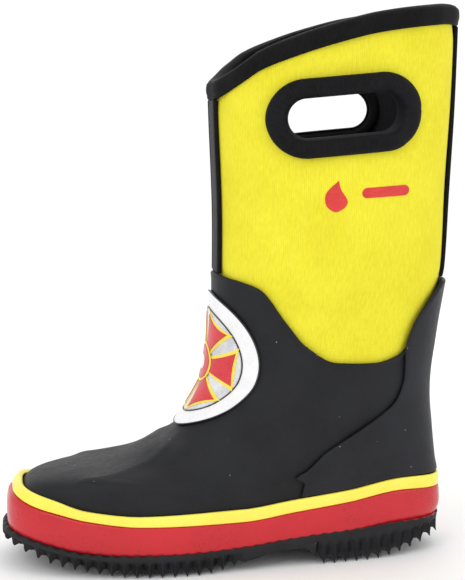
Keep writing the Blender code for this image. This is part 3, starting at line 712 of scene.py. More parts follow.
@dataclass(frozen=True)
class Rubber:
    """Dip-coated or moulded rubber: mottled, finely grained, with specks of dust.

    Attributes:
        name: Name of the material.
        dark: Colour of its darker patches.
        light: Colour of its lighter patches.
        rough: Least and greatest roughness.
        grain: Depth of its grain in metres.
        ripple: Depth of its slow unevenness in metres.
        dust: Strength of the specks of dust.
        coat: Weight of a clear coat.
        edge_highlight_and_wear: Colour that its raised edges are lightened to; painted highlight, partly also
            wear.
        gloss: Specular level.
    """

    name: str
    dark: Colour
    light: Colour
    rough: tuple[float, float] = (0.42, 0.56)
    grain: float = 0.00003
    ripple: float = 0.0004
    dust: float = 0.0
    coat: float = 0.0
    edge_highlight_and_wear: Colour | None = None
    gloss: float = 0.22

    def material(self) -> bpy.types.Material:
        """Make the material.

        Returns:
            The material.
        """
        g = Graph(self.name)
        where = g.coordinates()
        patches = g.noise(where, 38.0, 4.0)
        mottle = g.noise(where, 420.0, 4.0, 0.7)
        fine = g.noise(where, 2600.0, 3.0, 0.7)
        blend = g.weigh(patches, mottle, 0.65)
        colour = g.mix(g.spread(blend, 0.0, 1.0, 0.36, 0.64), self.dark, self.light)
        # Raised edges, found by pointiness, are lightened: painted highlight, partly also wear, patchy by the
        # mottle.
        if self.edge_highlight_and_wear:
            edge = g.node("NewGeometry", {}).outputs["Pointiness"]
            raised = g.spread(edge, 0.0, 0.8, 0.53, 0.62)
            highlight_and_wear = g.maths("MULTIPLY", raised, g.spread(mottle, 0.2, 1.0))
            colour = g.mix(highlight_and_wear, colour, self.edge_highlight_and_wear)
        if self.dust:
            cells = g.node("TexVoronoi", {"Vector": where, "Scale": 260.0, "Randomness": 1.0})
            spot = g.maths("LESS_THAN", cells.outputs["Distance"], 0.075)
            lot = g.node("SeparateColor", {0: cells.outputs["Color"]}).outputs[0]
            chosen = g.maths("GREATER_THAN", lot, 0.82)
            speck = g.maths("MULTIPLY", g.maths("MULTIPLY", spot, chosen), self.dust)
            colour = g.mix(speck, colour, (0.34, 0.35, 0.37))
        roughness = g.spread(g.weigh(patches, mottle, 0.5), *self.rough, 0.38, 0.62)
        heights = [(g.noise(where, 70.0, 2.0), self.ripple), (mottle, self.grain * 2.5), (fine, self.grain)]
        fixed = {"Specular IOR Level": self.gloss, "Coat Weight": self.coat, "Coat Roughness": 0.22}
        return g.finish(colour, roughness, heights, fixed)


@dataclass(frozen=True)
class Knit:
    """Textile face of the neoprene, tapes and lining: two sets of crossing yarns.

    Attributes:
        name: Name of the material.
        dark: Colour between the yarns.
        light: Colour of the yarns.
        pitch: Distance between yarns in metres.
        depth: Height of a yarn in metres.
        ribs: How much the upright yarns stand out over the level ones, from 0 to 1.
        sheen: Weight of its sheen.
        rough: Least and greatest roughness.
        ripple: Depth of its slow unevenness in metres.
        gloss: Specular level.
    """

    name: str
    dark: Colour
    light: Colour
    pitch: float = 0.0008
    depth: float = 0.00010
    ribs: float = 0.5
    sheen: float = 0.15
    rough: tuple[float, float] = (0.78, 0.92)
    ripple: float = 0.0003
    gloss: float = 0.15

    def material(self) -> bpy.types.Material:
        """Make the material.

        Returns:
            The material.
        """
        g = Graph(self.name)
        where, cloth = g.coordinates(), g.coordinates("UV")
        upright = g.bands(cloth, self.pitch, "X", 0.4)
        level = g.bands(cloth, self.pitch * 0.8, "Y", 0.4)
        weave = g.weigh(upright, level, self.ribs)
        heather = g.noise(g.coordinates("UV", (1.0, 0.25, 1.0)), 900.0, 3.0, 0.7)
        patches = g.noise(where, 45.0, 3.0)
        tone = g.weigh(heather, patches, 0.55)
        yarn = g.mix(g.spread(tone, 0.0, 1.0, 0.35, 0.65), self.dark, self.light)
        between = tuple(value * 0.62 for value in self.dark)
        colour = g.mix(g.spread(weave, 0.22, 0.0, 0.1, 0.6), yarn, between)
        roughness = g.spread(tone, *self.rough)
        slow = g.noise(where, 60.0, 2.0)
        heights = [(slow, self.ripple), (weave, self.depth), (heather, self.depth * 0.5)]
        fixed = {"Sheen Weight": self.sheen, "Sheen Roughness": 0.5, "Specular IOR Level": self.gloss}
        return g.finish(colour, roughness, heights, fixed)


@dataclass(frozen=True)
class Fibre:
    """Pressed or foamed filling: fibre board and open foam.

    Attributes:
        name: Name of the material.
        dark: Colour of its pores or shives.
        light: Colour of its body.
        scale: Pores per metre.
        stretch: How much longer than wide they are.
        depth: Their depth in metres.
    """

    name: str
    dark: Colour
    light: Colour
    scale: float = 900.0
    stretch: float = 1.0
    depth: float = 0.0002

    def material(self) -> bpy.types.Material:
        """Make the material.

        Returns:
            The material.
        """
        g = Graph(self.name)
        where = g.coordinates("Object", (1.0 / self.stretch, 1.0, 1.0))
        pores = g.node("TexVoronoi", {"Vector": where, "Scale": self.scale}).outputs["Distance"]
        cloud = g.noise(where, self.scale / 12, 4.0)
        colour = g.mix(g.spread(pores, 0.0, 1.0, 0.1, 0.6), self.dark, self.light)
        colour = g.mix(g.spread(cloud, 0.0, 0.35), colour, self.dark)
        return g.finish(colour, g.spread(cloud, 0.82, 0.95), [(pores, self.depth)])


@dataclass(frozen=True)
class Print:
    """Printed or moulded plastic film of the badge and the marks.

    Attributes:
        name: Name of the material.
        dark: Colour of its thinner ink.
        light: Colour of its full ink.
        rough: Roughness.
        metal: Metallic value.
        brush: Depth of fine scratches in metres.
    """

    name: str
    dark: Colour
    light: Colour
    rough: float = 0.35
    metal: float = 0.0
    brush: float = 0.00002

    def material(self) -> bpy.types.Material:
        """Make the material.

        Returns:
            The material.
        """
        g = Graph(self.name)
        where = g.coordinates()
        streaks = g.noise(g.coordinates("Object", (0.3, 1.0, 2.2), 0.6), 900.0, 3.0, 0.7)
        cloud = g.noise(where, 120.0, 3.0)
        tone = g.weigh(streaks, cloud, 0.5)
        colour = g.mix(g.spread(tone, 0.0, 1.0, 0.38, 0.62), self.dark, self.light)
        roughness = g.spread(tone, self.rough - 0.06, self.rough + 0.08)
        fixed = {"Metallic": self.metal, "Specular IOR Level": 0.5}
        return g.finish(colour, roughness, [(streaks, self.brush)], fixed)


@dataclass
class Finishes:
    """Every material of the boot, made once and shared by its pieces."""

    # The tread's lighter edge colour is painted highlight on its raised edges, partly also wear.
    tread: Rubber = Rubber("tread_rubber", (0.006, 0.006, 0.007), (0.017, 0.018, 0.020), (0.5, 0.7),
                           0.00006, 0.0003, 0.35, 0.0, (0.040, 0.041, 0.045), 0.25)
    red: Rubber = Rubber("red_rubber", (0.500, 0.008, 0.016), (0.580, 0.012, 0.022), (0.26, 0.38),
                         0.000012, 0.0005, 0.0, 0.12, None, 0.4)
    yellow: Rubber = Rubber("yellow_rubber", (0.93, 0.78, 0.085), (1.0, 0.86, 0.125), (0.30, 0.42),
                            0.000012, 0.0003, 0.0, 0.05, None, 0.35)
    shell: Rubber = Rubber("shell_rubber", (0.0070, 0.0073, 0.0090), (0.0150, 0.0155, 0.0185), (0.46, 0.62),
                           0.000022, 0.00035, 0.8)
    flap: Rubber = Rubber("heel_rubber", (0.0090, 0.0093, 0.0125), (0.0175, 0.0180, 0.0235), (0.42, 0.56),
                          0.000022, 0.00035, 0.7)
    neoprene: Knit = Knit("yellow_knit", (0.740, 0.650, 0.024), (0.860, 0.790, 0.048), 0.0009, 0.00006, 0.55,
                          0.02, (0.72, 0.88), 0.00035)
    lining: Knit = Knit("lining_knit", (0.013, 0.013, 0.015), (0.030, 0.030, 0.034), 0.0011, 0.00012,
                        0.5, 0.05)
    binding: Knit = Knit("binding_knit", (0.0045, 0.0045, 0.0050), (0.0120, 0.0120, 0.0130), 0.0006, 0.00004,
                         0.7, 0.02, (0.50, 0.66), 0.0002, gloss=0.05)
    rim: Knit = Knit("rim_knit", (0.0050, 0.0050, 0.0056), (0.0135, 0.0135, 0.0150), 0.0006, 0.00004,
                     0.7, 0.02, (0.46, 0.62), 0.0002, gloss=0.06)
    strip: Knit = Knit("strip_webbing", (0.030, 0.030, 0.033), (0.062, 0.062, 0.067), 0.0007, 0.00010,
                       0.8, 0.05)
    foam: Fibre = Fibre("foam", (0.16, 0.16, 0.17), (0.33, 0.33, 0.34))
    board: Fibre = Fibre("fibre_board", (0.22, 0.15, 0.09), (0.40, 0.30, 0.19), 1400.0, 3.0, 0.0001)
    badge_white: Print = Print("badge_white", (0.78, 0.78, 0.79), (0.88, 0.88, 0.89), 0.30)
    badge_black: Print = Print("badge_black", (0.010, 0.010, 0.011), (0.022, 0.022, 0.024), 0.35)
    silver: Print = Print("badge_silver", (0.55, 0.56, 0.58), (0.78, 0.79, 0.81), 0.34, 0.35, 0.00003)
    badge_red: Print = Print("badge_red", (0.56, 0.018, 0.030), (0.68, 0.032, 0.046), 0.28)
    badge_yellow: Print = Print("badge_yellow", (0.90, 0.66, 0.05), (0.98, 0.78, 0.09), 0.30)
    ink: Print = Print("red_print", (0.56, 0.020, 0.020), (0.70, 0.040, 0.030), 0.45)

    def __post_init__(self) -> None:
        """Prepare the store of made materials."""
        self._made: dict[str, bpy.types.Material] = {}

    def get(self, *names: str) -> list[bpy.types.Material]:
        """Materials of some finishes, made when they are first asked for.

        Args:
            *names: Names of the finishes.

        Returns:
            Their materials in the same order.
        """
        for name in names:
            if name not in self._made:
                self._made[name] = getattr(self, name).material()
        return [self._made[name] for name in names]

    def dress(self, node: str, name: str) -> None:
        """Give a finish to a CAD node that stays as it is.

        Args:
            node: Name of the node.
            name: Name of the finish.
        """
        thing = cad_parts[node]
        material = self.get(name)[0]
        for holder in thing.material_slots:
            holder.material = material
        if not thing.material_slots:
            thing.data.materials.append(material)
        LOG.info("%s: kept, in %s", node, material.name)


# --- sub-assemblies -----------------------------------------------------------------
@dataclass
class Sole:
    """Lugged outsole, red band and yellow stripe, with the board and filler inside."""

    skin: Skin
    finishes: Finishes
    pitch: float = 0.0058
    depth: float = 0.0030
    band_inner: float = 0.0029
    band_face: float = 0.0049
    stripe_face: float = 0.0046
    toe_flare: float = 0.0038
    side_flare: float = 0.0014
    heel_flare: float = -0.0006
    heel_tuck: float = 0.0020
    toe_bulge: float = 0.0010
    welt_gap: float = 0.0006
    recess: float = 0.0014
    columns: int = 520
    overlap_x: float = 0.0285
    bulge_start: float = -0.050
    bulge_run: float = 0.055
    tuck_top: float = 0.0240
    tuck_start: float = 0.045
    tuck_run: float = 0.045
    rib_power: float = 1.6
    fine_rib: float = 0.35
    arch_middle: float = 0.0206
    arch_reach: float = 0.0515
    arch_lift: float = 0.0030
    toe_start: float = -0.085
    grooves: tuple[float, ...] = (0.175, 0.35, 0.50, 0.65, 0.825)
    groove_reach: float = 0.02
    margin: float = 0.03

    def _stations(self) -> tuple[np.ndarray, np.ndarray]:
        """Stations at which the tread is cut.

        Returns:
            Their places along each side, from 0 at the toe to 1, and the phase of the lugs at each.
        """
        count = int(round(self.skin.half_length(Side.LATERAL, self.skin.sole_level) / self.pitch))
        phases = np.array([0.0, 0.09, 0.17, 0.30, 0.50, 0.70, 0.83, 0.91])
        lug = np.arange(count)[:, None] + phases[None, :]
        lug = np.append(lug.ravel(), count)
        return lug / count, lug

    def _tread(self) -> bmesh.types.BMesh:
        """Outsole with a flared wall and ribs that end in pointed lugs.

        Returns:
            Its body.
        """
        skin = self.skin
        share, lug = self._stations()
        arch_low, groove = self._bottom(share, lug)
        rng = np.random.default_rng(4)
        uneven = rng.uniform(0.55, 1.0, int(lug[-1]) + 2)
        each = uneven[np.round(lug).astype(int)]
        columns = []
        for turn in (share / 2, 1 - share / 2):
            x = skin.x_at(turn, skin.sole_level)
            flare = self._flare(x)
            low = skin.tread(x) + groove
            top = skin.welt(x) + 0.0006 + 0.0007 * ridge(np.mod(lug + 0.5, 1.0) - 0.5, 0.25)
            wall = []
            for up, out, cut in self._wall_profile():
                z = low + (top - low) * up
                ribs = np.abs(np.sin(math.pi * lug)) ** self.rib_power * cut * (1 - arch_low)
                fine = self.fine_rib * np.abs(np.sin(3 * math.pi * lug)) * cut * each * (1 - arch_low)
                stand = self.band_face + flare * out - ribs - fine
                point = skin.place(turn, np.full_like(z, skin.sole_level), stand)
                point[:, 2] = z
                wall.append(point)
            columns.append(wall)
        left, right = columns
        bottom = self._across(left[0], right[0], share, lug, arch_low)
        inner_top = skin.welt(skin.x_at(share / 2, skin.sole_level)) - self.welt_gap
        top_left, top_right = left[-1].copy(), right[-1].copy()
        for edge, turn in ((top_left, share / 2), (top_right, 1 - share / 2)):
            edge[:] = skin.place(turn, np.full_like(turn, skin.sole_level), self.band_inner)
            edge[:, 2] = inner_top
        top = [top_left + (top_right - top_left) * at for at in np.linspace(0.0, 1.0, 7)]
        loop = [*reversed(left), *bottom, *right, *reversed(top)]
        loop.append(loop[0])
        return wound(np.stack(loop, axis=1))

    def _flare(self, x: np.ndarray) -> np.ndarray:
        """How far the wall of the tread stands out past the band.

        Args:
            x: Places along the boot, before the shift.

        Returns:
            The flare at each.
        """
        skin = self.skin
        ahead = ((skin.toe_x + skin.heel_x) / 2 - x) * 2 / skin.upper_length
        end = np.where(ahead > 0, self.toe_flare, self.heel_flare)
        return self.side_flare + (end - self.side_flare) * eased(np.abs(ahead))

    def _wall_profile(self) -> list[tuple[float, float, float]]:
        """Steps up the wall of the tread.

        Returns:
            For each the share of the height, the share of the flare and the depth of the ribs.
        """
        return [
            (0.00, 0.55, 0.0014), (0.05, 0.74, 0.0021), (0.14, 0.88, 0.0024), (0.28, 0.98, 0.0023),
            (0.44, 1.00, 0.0020), (0.55, 1.00, 0.0013), (0.63, 0.98, 0.0004), (0.70, 0.96, 0.0),
            (0.84, 0.86, 0.0), (0.95, 0.60, 0.0), (1.00, 0.30, 0.0),
        ]

    def _bottom(self, share: np.ndarray, lug: np.ndarray) -> tuple[np.ndarray, np.ndarray]:
        """How much each station is in the arch, and how high its groove rises.

        Args:
            share: Places of the stations along each side, from the toe.
            lug: Phase of the lugs at each.

        Returns:
            Both, with the arch from 0 to 1 and the groove in metres.
        """
        x = self.skin.x_at(share / 2, self.skin.sole_level)
        arch = eased((self.skin.tread(x) - self.arch_lift) / 0.0020)
        arch = arch * (np.abs(x - self.arch_middle) < self.arch_reach)
        toe = eased((self.toe_start - x) / 0.02)
        across = np.abs(np.mod(lug + 0.5, 1.0) - 0.5)
        groove = self.depth * np.sqrt(1 - (1 - np.clip((across - 0.075) / 0.425, 0, 1)) ** 2) * (1 - arch)
        jag = 0.5 * self.depth * np.abs(np.sin(2 * math.pi * lug + 0.7)) * toe
        return arch, groove * (1 - 0.35 * toe) + jag

    def _across(self, left: np.ndarray, right: np.ndarray, share: np.ndarray, lug: np.ndarray,
                arch: np.ndarray) -> list[np.ndarray]:
        """Rows of the underside, with blocks between crossing grooves.

        Args:
            left: Foot of the outer wall at each station.
            right: Foot of the inner wall at each station.
            share: Places of the stations along each side, from the toe.
            lug: Phase of the lugs at each.
            arch: How much each is in the arch.

        Returns:
            The rows from the outer to the inner wall.
        """
        x = self.skin.x_at(share / 2, self.skin.sole_level)
        base = self.skin.tread(x)
        rows = []
        banks = [centre + side * self.groove_reach for centre in self.grooves for side in (-1, 0, 1)]
        for at in (self.margin, *banks, 1 - self.margin):
            row = left + (right - left) * at
            lane = min(int(abs(at - 0.5) * 6.2), 3)
            cut = any(abs(at - centre) < 0.003 for centre in self.grooves)
            phase = lug + (0.5 if lane % 2 else 0.0)
            block = 1 - eased((np.abs(np.sin(math.pi * phase)) - 0.45) / 0.25)
            height = np.ones_like(block) if cut else 1 - block
            rib = 0.0005 * np.sin(2 * math.pi * (lug * 1.5 + at * 8.0)) * arch
            cut_height = self.recess + (self.depth - self.recess) * height
            row[:, 2] = base + cut_height * (1 - arch) + (0.0008 + rib) * arch
            rows.append(row)
        return rows

    def _loop(self, low: Curve, high: Curve, inner: float, face: float, bulge: float) -> bmesh.types.BMesh:
        """Band round the boot with rounded edges and a lapped end.

        Args:
            low: Height of its lower edge over x.
            high: Height of its upper edge over x.
            inner: Distance of its inner face from the skin.
            face: Distance of its outer face from the skin.
            bulge: How far its middle swells.

        Returns:
            The band's body.
        """
        skin = self.skin
        turns = skin.even_turns(self.columns)[None, :]
        x = skin.x_at(turns, skin.sole_level)
        shares, full = rounded_steps(0.012, 0.0009, 9)
        z = low(x) + (high(x) - low(x)) * shares[:, None]
        middle, half = (inner + face) / 2, (face - inner) / 2
        lap = 0.00028 * (ridge(x - self.overlap_x, 0.0011) + 0.6 * eased((self.overlap_x - x) / 0.002)
                         * ridge(x - self.overlap_x + 0.004, 0.006)) * (turns < 0.5)
        swell = bulge * np.sin(math.pi * shares)[:, None] + lap * full[:, None]
        swell = swell + self.toe_bulge * eased((self.bulge_start - x) / self.bulge_run) * full[:, None]
        under = np.clip((self.tuck_top - z) / 0.0070, 0.0, 1.0) ** 1.5
        swell = swell - self.heel_tuck * under * eased((x - self.tuck_start) / self.tuck_run)
        sheets = []
        for stand in (middle + half * full[:, None] + swell, middle - half * full[:, None]):
            sheet = skin.place(turns, np.maximum(z, skin.sole_level), stand)
            sheet[..., 2] = np.where(z > skin.sole_level, sheet[..., 2], z)
            sheets.append(sheet)
        return shelled(*sheets)

    def build(self) -> None:
        """Make and dress the pieces of the sole."""
        skin, get = self.skin, self.finishes.get
        Piece("lugged_outsole", self._tread(), get("tread"), "tread", ["outsole"], sharp=48).place()
        band = self._loop(skin.welt, lambda x: skin.foxing_top(x) + 0.0001,
                          self.band_inner, self.band_face, 0.0005)
        Piece("red_band", band, get("red"), "foxing_red", ["foxing_band"]).place()
        stripe = self._loop(lambda x: skin.foxing_top(x) + 0.00015,
                            lambda x: skin.foxing_top(x) + skin.stripe_height(x),
                            self.band_inner, self.stripe_face, 0.0003)
        Piece("yellow_stripe", stripe, get("yellow"), "foxing_yellow", ["foxing_stripe"]).place()
        self.finishes.dress("midsole_filler", "foam")
        self.finishes.dress("insole_board", "board")


@dataclass
class Shell:
    """Rubber shell over the foot, with the heel flap outside it and the toe puff inside."""

    skin: Skin
    finishes: Finishes
    gap: float = 0.0003
    face: float = 0.0021
    flap_inner: float = 0.0024
    flap_face: float = 0.0046
    flap_top: float = 0.1385
    columns: int = 300
    row_step: float = 0.0015
    flap_foot: float = 0.0405
    flap_fade: float = 0.045
    flap_round: float = 0.0012
    stretch_from: float = 0.0700
    lip_height: float = 0.00035
    lip_drop: float = 0.0016
    ridge_height: float = 0.00060
    ridge_width: float = 0.0011

    def _rows(self) -> tuple[np.ndarray, np.ndarray]:
        """Rows that lie evenly along the instep.

        Returns:
            Their heights at the front seam and how full the wall is at each.
        """
        heights = np.linspace(0.0120, 0.1420, 1301)
        steps = np.hypot(np.diff(heights), np.diff(self.skin.front(heights)))
        run = np.concatenate(([0.0], np.cumsum(steps)))
        shares, full = rounded_steps(run[-1], 0.0012, int(run[-1] / self.row_step), 3)
        return np.interp(shares * run[-1], run, heights), full

    def _ridges(self, x: np.ndarray, z: np.ndarray) -> np.ndarray:
        """Height of the edges of the inner layers that show through the rubber.

        Args:
            x: Places along the boot, before the shift.
            z: Their heights.

        Returns:
            How far the rubber stands out there.
        """
        lines = (
            ((-0.0820, 0.0425), (-0.0590, 0.0425), (-0.0395, 0.0410), (-0.0230, 0.0390)),
            ((-0.0820, 0.0422), (-0.0595, 0.0457), (-0.0450, 0.0503), (-0.0335, 0.0580), (-0.0245, 0.0650)),
        )
        total = np.zeros_like(x)
        for line in lines:
            curve = smooth_curve(line)
            fade = eased((x - line[0][0]) / 0.010) * eased((line[-1][0] - x) / 0.012)
            slope = np.abs(line[-1][1] - line[0][1]) / (line[-1][0] - line[0][0])
            away = (z - curve(x)) / math.hypot(1.0, slope)
            step = 0.35 * eased((away + 0.004) / 0.004) * (away < 0)
            total += fade * (ridge(away, self.ridge_width) + step)
        return total * self.ridge_height

    def _vamp(self) -> bmesh.types.BMesh:
        """Body of the shell.

        Returns:
            The closed body.
        """
        skin = self.skin
        turns = skin.even_turns(self.columns)[None, :]
        base, full = self._rows()
        top = skin.shell_top(skin.x_at(turns, skin.shaft_level))
        bend = self.stretch_from
        z = base[:, None] + 0 * turns
        stretched = bend + (z - bend) * (top - bend) / (base[-1] - bend)
        z = np.where(z > bend, stretched, z)
        x = skin.x_at(turns, z)
        wave = 0.00018 * np.sin(x * 210 + z * 90) * np.sin(z * 160 - x * 60 + 1.0) * eased((z - 0.036) / 0.02)
        crease = 0.00015 * ridge(z - (0.088 + 0.35 * (x + 0.01)), 0.0035) * ridge(x - 0.012, 0.018)
        lip = self.lip_height * ridge(top - z - self.lip_drop, 0.0012)
        extra = (self._ridges(x, z) + wave - crease + lip) * full[:, None]
        return skin.slab(turns, z, (self.gap, self.face), full[:, None], extra)

    def _flap(self) -> bmesh.types.BMesh:
        """Body of the heel flap, rising to a tip at the back seam.

        Returns:
            The closed body.
        """
        skin = self.skin
        share, row_full = rounded_steps(0.10, 0.0012, 60, 3)
        z_row = self.flap_foot + (self.flap_top - self.flap_foot) * share
        angle = np.linspace(0.0, math.pi / 2, 4)
        sink = 1 - eased((z_row - self.flap_foot) / self.flap_fade)
        x_edge = skin.counter_edge(z_row)
        edge_foot = skin.foxing_top(x_edge) + skin.stripe_height(x_edge) + 0.0004
        z_edge = z_row + (edge_foot - self.flap_foot) * sink
        sides = []
        for side in Side:
            length = skin.half_length(side, z_row)
            place = skin.counter_edge(z_edge)
            edge = np.abs(0.5 - skin.turn_at(side, place, z_edge)) * 2
            width = np.maximum(edge * length, 1e-5)
            bend = np.minimum(self.flap_round, width / 3)
            near = bend[:, None] * (1 - np.cos(angle))[None, :]
            rest = bend[:, None] + (width - bend)[:, None] * np.linspace(0, 1, 29)[None, 1:]
            distance = width[:, None] - np.concatenate((near, rest), axis=1)
            sides.append((distance / length[:, None] / 2, np.concatenate((np.sin(angle), np.ones(28)))))
        lateral, medial = sides
        turn = np.concatenate((0.5 - lateral[0], 0.5 + medial[0][:, -2::-1]), axis=1)
        full = np.concatenate((lateral[1], medial[1][-2::-1]))[None, :] * row_full[:, None]
        z = z_row[:, None] + 0 * turn
        foot = self._stripe_top(turn) + 0.0004
        z = z + (foot - self.flap_foot) * sink[:, None]
        x = skin.x_at(turn, z)
        dent = 0.0005 * ridge(z - (0.075 + 0.55 * (x - 0.070)), 0.009) * ridge(x - 0.082, 0.016)
        wave = 0.0002 * np.sin(x * 190 + z * 120)
        return skin.slab(turn, z, (self.flap_inner, self.flap_face), full, (wave - dent) * full)

    def _stripe_top(self, turn: np.ndarray) -> np.ndarray:
        """Height of the stripe's upper edge."""
        x = self.skin.x_at(turn, self.skin.sole_level)
        return self.skin.foxing_top(x) + self.skin.stripe_height(x)

    def build(self) -> None:
        """Make and dress the pieces of the shell."""
        get = self.finishes.get
        Piece("foot_shell", self._vamp(), get("shell"), "shell", ["vamp_shell"]).place()
        Piece("heel_flap", self._flap(), get("flap"), "shell", ["heel_counter"]).place()
        self.finishes.dress("toe_puff", "board")


@dataclass
class Shaft:
    """Neoprene shaft with its seams, tapes, collar binding and handle rims."""

    skin: Skin
    finishes: Finishes
    neoprene: float = 0.0045
    panel_foot: float = 0.0900
    press: float = 0.0008
    seam_gap: float = 0.0002
    binding_height: float = 0.0096
    binding_drop: float = 0.0022
    hole_length: float = 0.0610
    hole_height: float = 0.0240
    hole_tilt: float = math.radians(5.0)
    rim_flange: float = 0.0066
    strip_half_width: float = 0.0112
    back_half_width: float = 0.0120
    tape_half_width: float = 0.0060
    strip_roll: float = 0.0030
    back_roll: float = 0.0020
    back_low: float = 0.1392
    tape_low: float = 0.0912
    strip_drop: float = 0.0093
    tape_drop: float = 0.0102
    panel_rise: float = 0.16
    panel_run: float = 0.13
    nap: float = 0.0004
    hole_clearance: float = 0.0006
    rim_points: int = 120
    rim_height: float = 0.0034
    roll_steps: int = 12
    binding_steps: int = 17
    binding_swell: float = 0.0022
    binding_columns: int = 360
    hole: tuple[float, float] = field(init=False)

    def __post_init__(self) -> None:
        """Find the middle of the handle hole from the CAD rim."""
        low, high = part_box("lateral_handle_rim")
        self.hole = ((low.x + high.x) / 2 - float(self.skin.shift[0]), (low.z + high.z) / 2)

    def _hole_distance(self, x: np.ndarray, z: np.ndarray) -> np.ndarray:
        """Distance from the outline of the handle hole.

        Args:
            x: Places along the boot, before the shift.
            z: Their heights.

        Returns:
            The distance, positive outside the hole.
        """
        cos, sin = math.cos(self.hole_tilt), math.sin(self.hole_tilt)
        along = (x - self.hole[0]) * cos + (z - self.hole[1]) * sin
        up = -(x - self.hole[0]) * sin + (z - self.hole[1]) * cos
        straight = (self.hole_length - self.hole_height) / 2
        return np.hypot(np.maximum(np.abs(along) - straight, 0.0), up) - self.hole_height / 2

    def _outline(self, grow: float, count: int) -> tuple[np.ndarray, np.ndarray]:
        """Closed outline of the handle hole.

        Args:
            grow: How far it is moved outwards.
            count: About how many points it has.

        Returns:
            Its places along X, before the shift, and its heights.
        """
        straight, radius = (self.hole_length - self.hole_height) / 2, self.hole_height / 2
        turns, runs = count // 3, count // 6
        arc = np.linspace(-math.pi / 2, math.pi / 2, turns + 1)
        line = np.linspace(1.0, -1.0, runs + 1)[1:-1] * straight
        along = np.concatenate((straight + (radius + grow) * np.cos(arc), line,
                                -straight - (radius + grow) * np.cos(arc), -line, [straight]))
        reach = radius + grow
        up = np.concatenate((reach * np.sin(arc), np.full(len(line), reach),
                             -reach * np.sin(arc), np.full(len(line), -reach), [-reach]))
        cos, sin = math.cos(self.hole_tilt), math.sin(self.hole_tilt)
        return self.hole[0] + along * cos - up * sin, self.hole[1] + along * sin + up * cos

    def _panel(self, side: Side) -> bmesh.types.BMesh:
        """Body of one neoprene half, cut out for the handle.

        Args:
            side: Side of the shaft that it covers.

        Returns:
            The panel's body, with the lining as its second material.
        """
        skin = self.skin
        rows, row_full = rounded_steps(self.panel_rise, 0.0015, 96, 2)
        columns, column_full = rounded_steps(self.panel_run, 0.0010, 88, 2)
        start = 0.0 if side is Side.LATERAL else 0.5
        inset = self.seam_gap / 2 / self.panel_run / 2
        turn = start + inset + (0.5 - 2 * inset) * columns[None, :]
        top = skin.collar(skin.x_at(turn, skin.collar_level)) - self.binding_drop
        z = self.panel_foot + (top - self.panel_foot) * rows[:, None]
        full = column_full[None, :] * row_full[:, None]
        x = skin.x_at(turn, z)
        edge = skin.shell_top(skin.x_at(turn, skin.shaft_level))
        pressed = self.press * (1 - eased((z - edge + 0.001) / 0.0055))
        binding = top - self.binding_height + 0.0030
        seam = np.minimum(columns, 1 - columns)[None, :] * self.panel_run - self.strip_half_width
        hole = self._hole_distance(x, z)
        pinch = 0.0007 * ridge(z - binding, 0.0050) + 0.0006 * ridge(seam, 0.0040)
        pinch += 0.0009 * ridge(np.maximum(hole - self.rim_flange, 0.0), 0.0045)
        swell = 0.00030 * np.sin(x * 75 + 0.7) * np.sin(z * 62 + side.value)
        folds = 0.0006 * ridge(z - self.hole[1] - 0.45 * (x - self.hole[0] - 0.043), 0.0016)
        folds = folds * ridge(x - self.hole[0] - 0.045, 0.0065) * (hole > self.rim_flange)
        extra = (self.nap + swell - pinch - folds - pressed) * full
        bm = skin.slab(turn, z, (-self.neoprene, 0.0), full, extra, lining=1)
        self._cut_hole(bm)
        return bm

    def _cut_hole(self, bm: bmesh.types.BMesh) -> None:
        """Cut the handle hole and join the two faces of the panel round it.

        Args:
            bm: The panel's body, which is changed.
        """
        shift = float(self.skin.shift[0])

        def off(vertex: bmesh.types.BMVert) -> float:
            """Distance of a vertex from the hole's outline."""
            return float(self._hole_distance(np.array(vertex.co.x - shift), np.array(vertex.co.z)))

        clear = self.hole_clearance
        inside = [face for face in bm.faces if all(off(corner) < clear for corner in face.verts)]
        bmesh.ops.delete(bm, geom=inside, context="FACES")
        rim = [edge for edge in bm.edges if edge.is_boundary]
        loops = bmesh.ops.bridge_loops(bm, edges=rim)
        for face in loops["faces"]:
            face.material_index = 1
        bmesh.ops.recalc_face_normals(bm, faces=list(bm.faces))

    def _rim(self, side: Side) -> bmesh.types.BMesh:
        """Padded ring that clasps the edge of a handle hole.

        Args:
            side: Side of the shaft that it is on.

        Returns:
            The ring's body.
        """
        inner = -self.neoprene - 0.0004
        roll = []
        for angle in np.linspace(0.0, math.pi, self.roll_steps):
            roll.append((self.rim_flange / 2 - 0.0010 + (self.rim_flange / 2 + 0.0012) * math.cos(angle),
                         self.nap + self.rim_height * math.sin(angle) ** 0.75))
        back = [(-0.0026, -0.0012), (-0.0027, -0.0036), (-0.0024, inner - 0.0006)]
        for angle in np.linspace(math.pi, 0.0, 7):
            back.append((0.0014 + 0.0028 * math.cos(angle), inner - 0.0022 * math.sin(angle) ** 0.8 - 0.0001))
        slot = [(-0.0003, inner), (-0.0003, 0.0004)]
        section = roll + back + slot
        section.append(section[0])
        loops = []
        for index, (grow, stand) in enumerate(section):
            x, z = self._outline(grow, self.rim_points)
            t = np.linspace(0.0, 2 * math.pi, len(x))
            puff = 0.0002 * np.sin(5 * t + 0.6) + 0.00012 * np.sin(11 * t)
            near_end = ridge(np.mod(t - 0.35, 2 * math.pi), 0.10) + ridge(np.mod(t - 1.0, 2 * math.pi), 0.07)
            change = (puff - 0.0004 * near_end) * (0 < index < self.roll_steps - 1)
            turn = self.skin.turn_at(side, x, z)
            loops.append(self.skin.place(turn, z, stand + change))
        points = np.stack(loops, axis=0)
        points[:, -1] = points[:, 0]
        return wound(points)

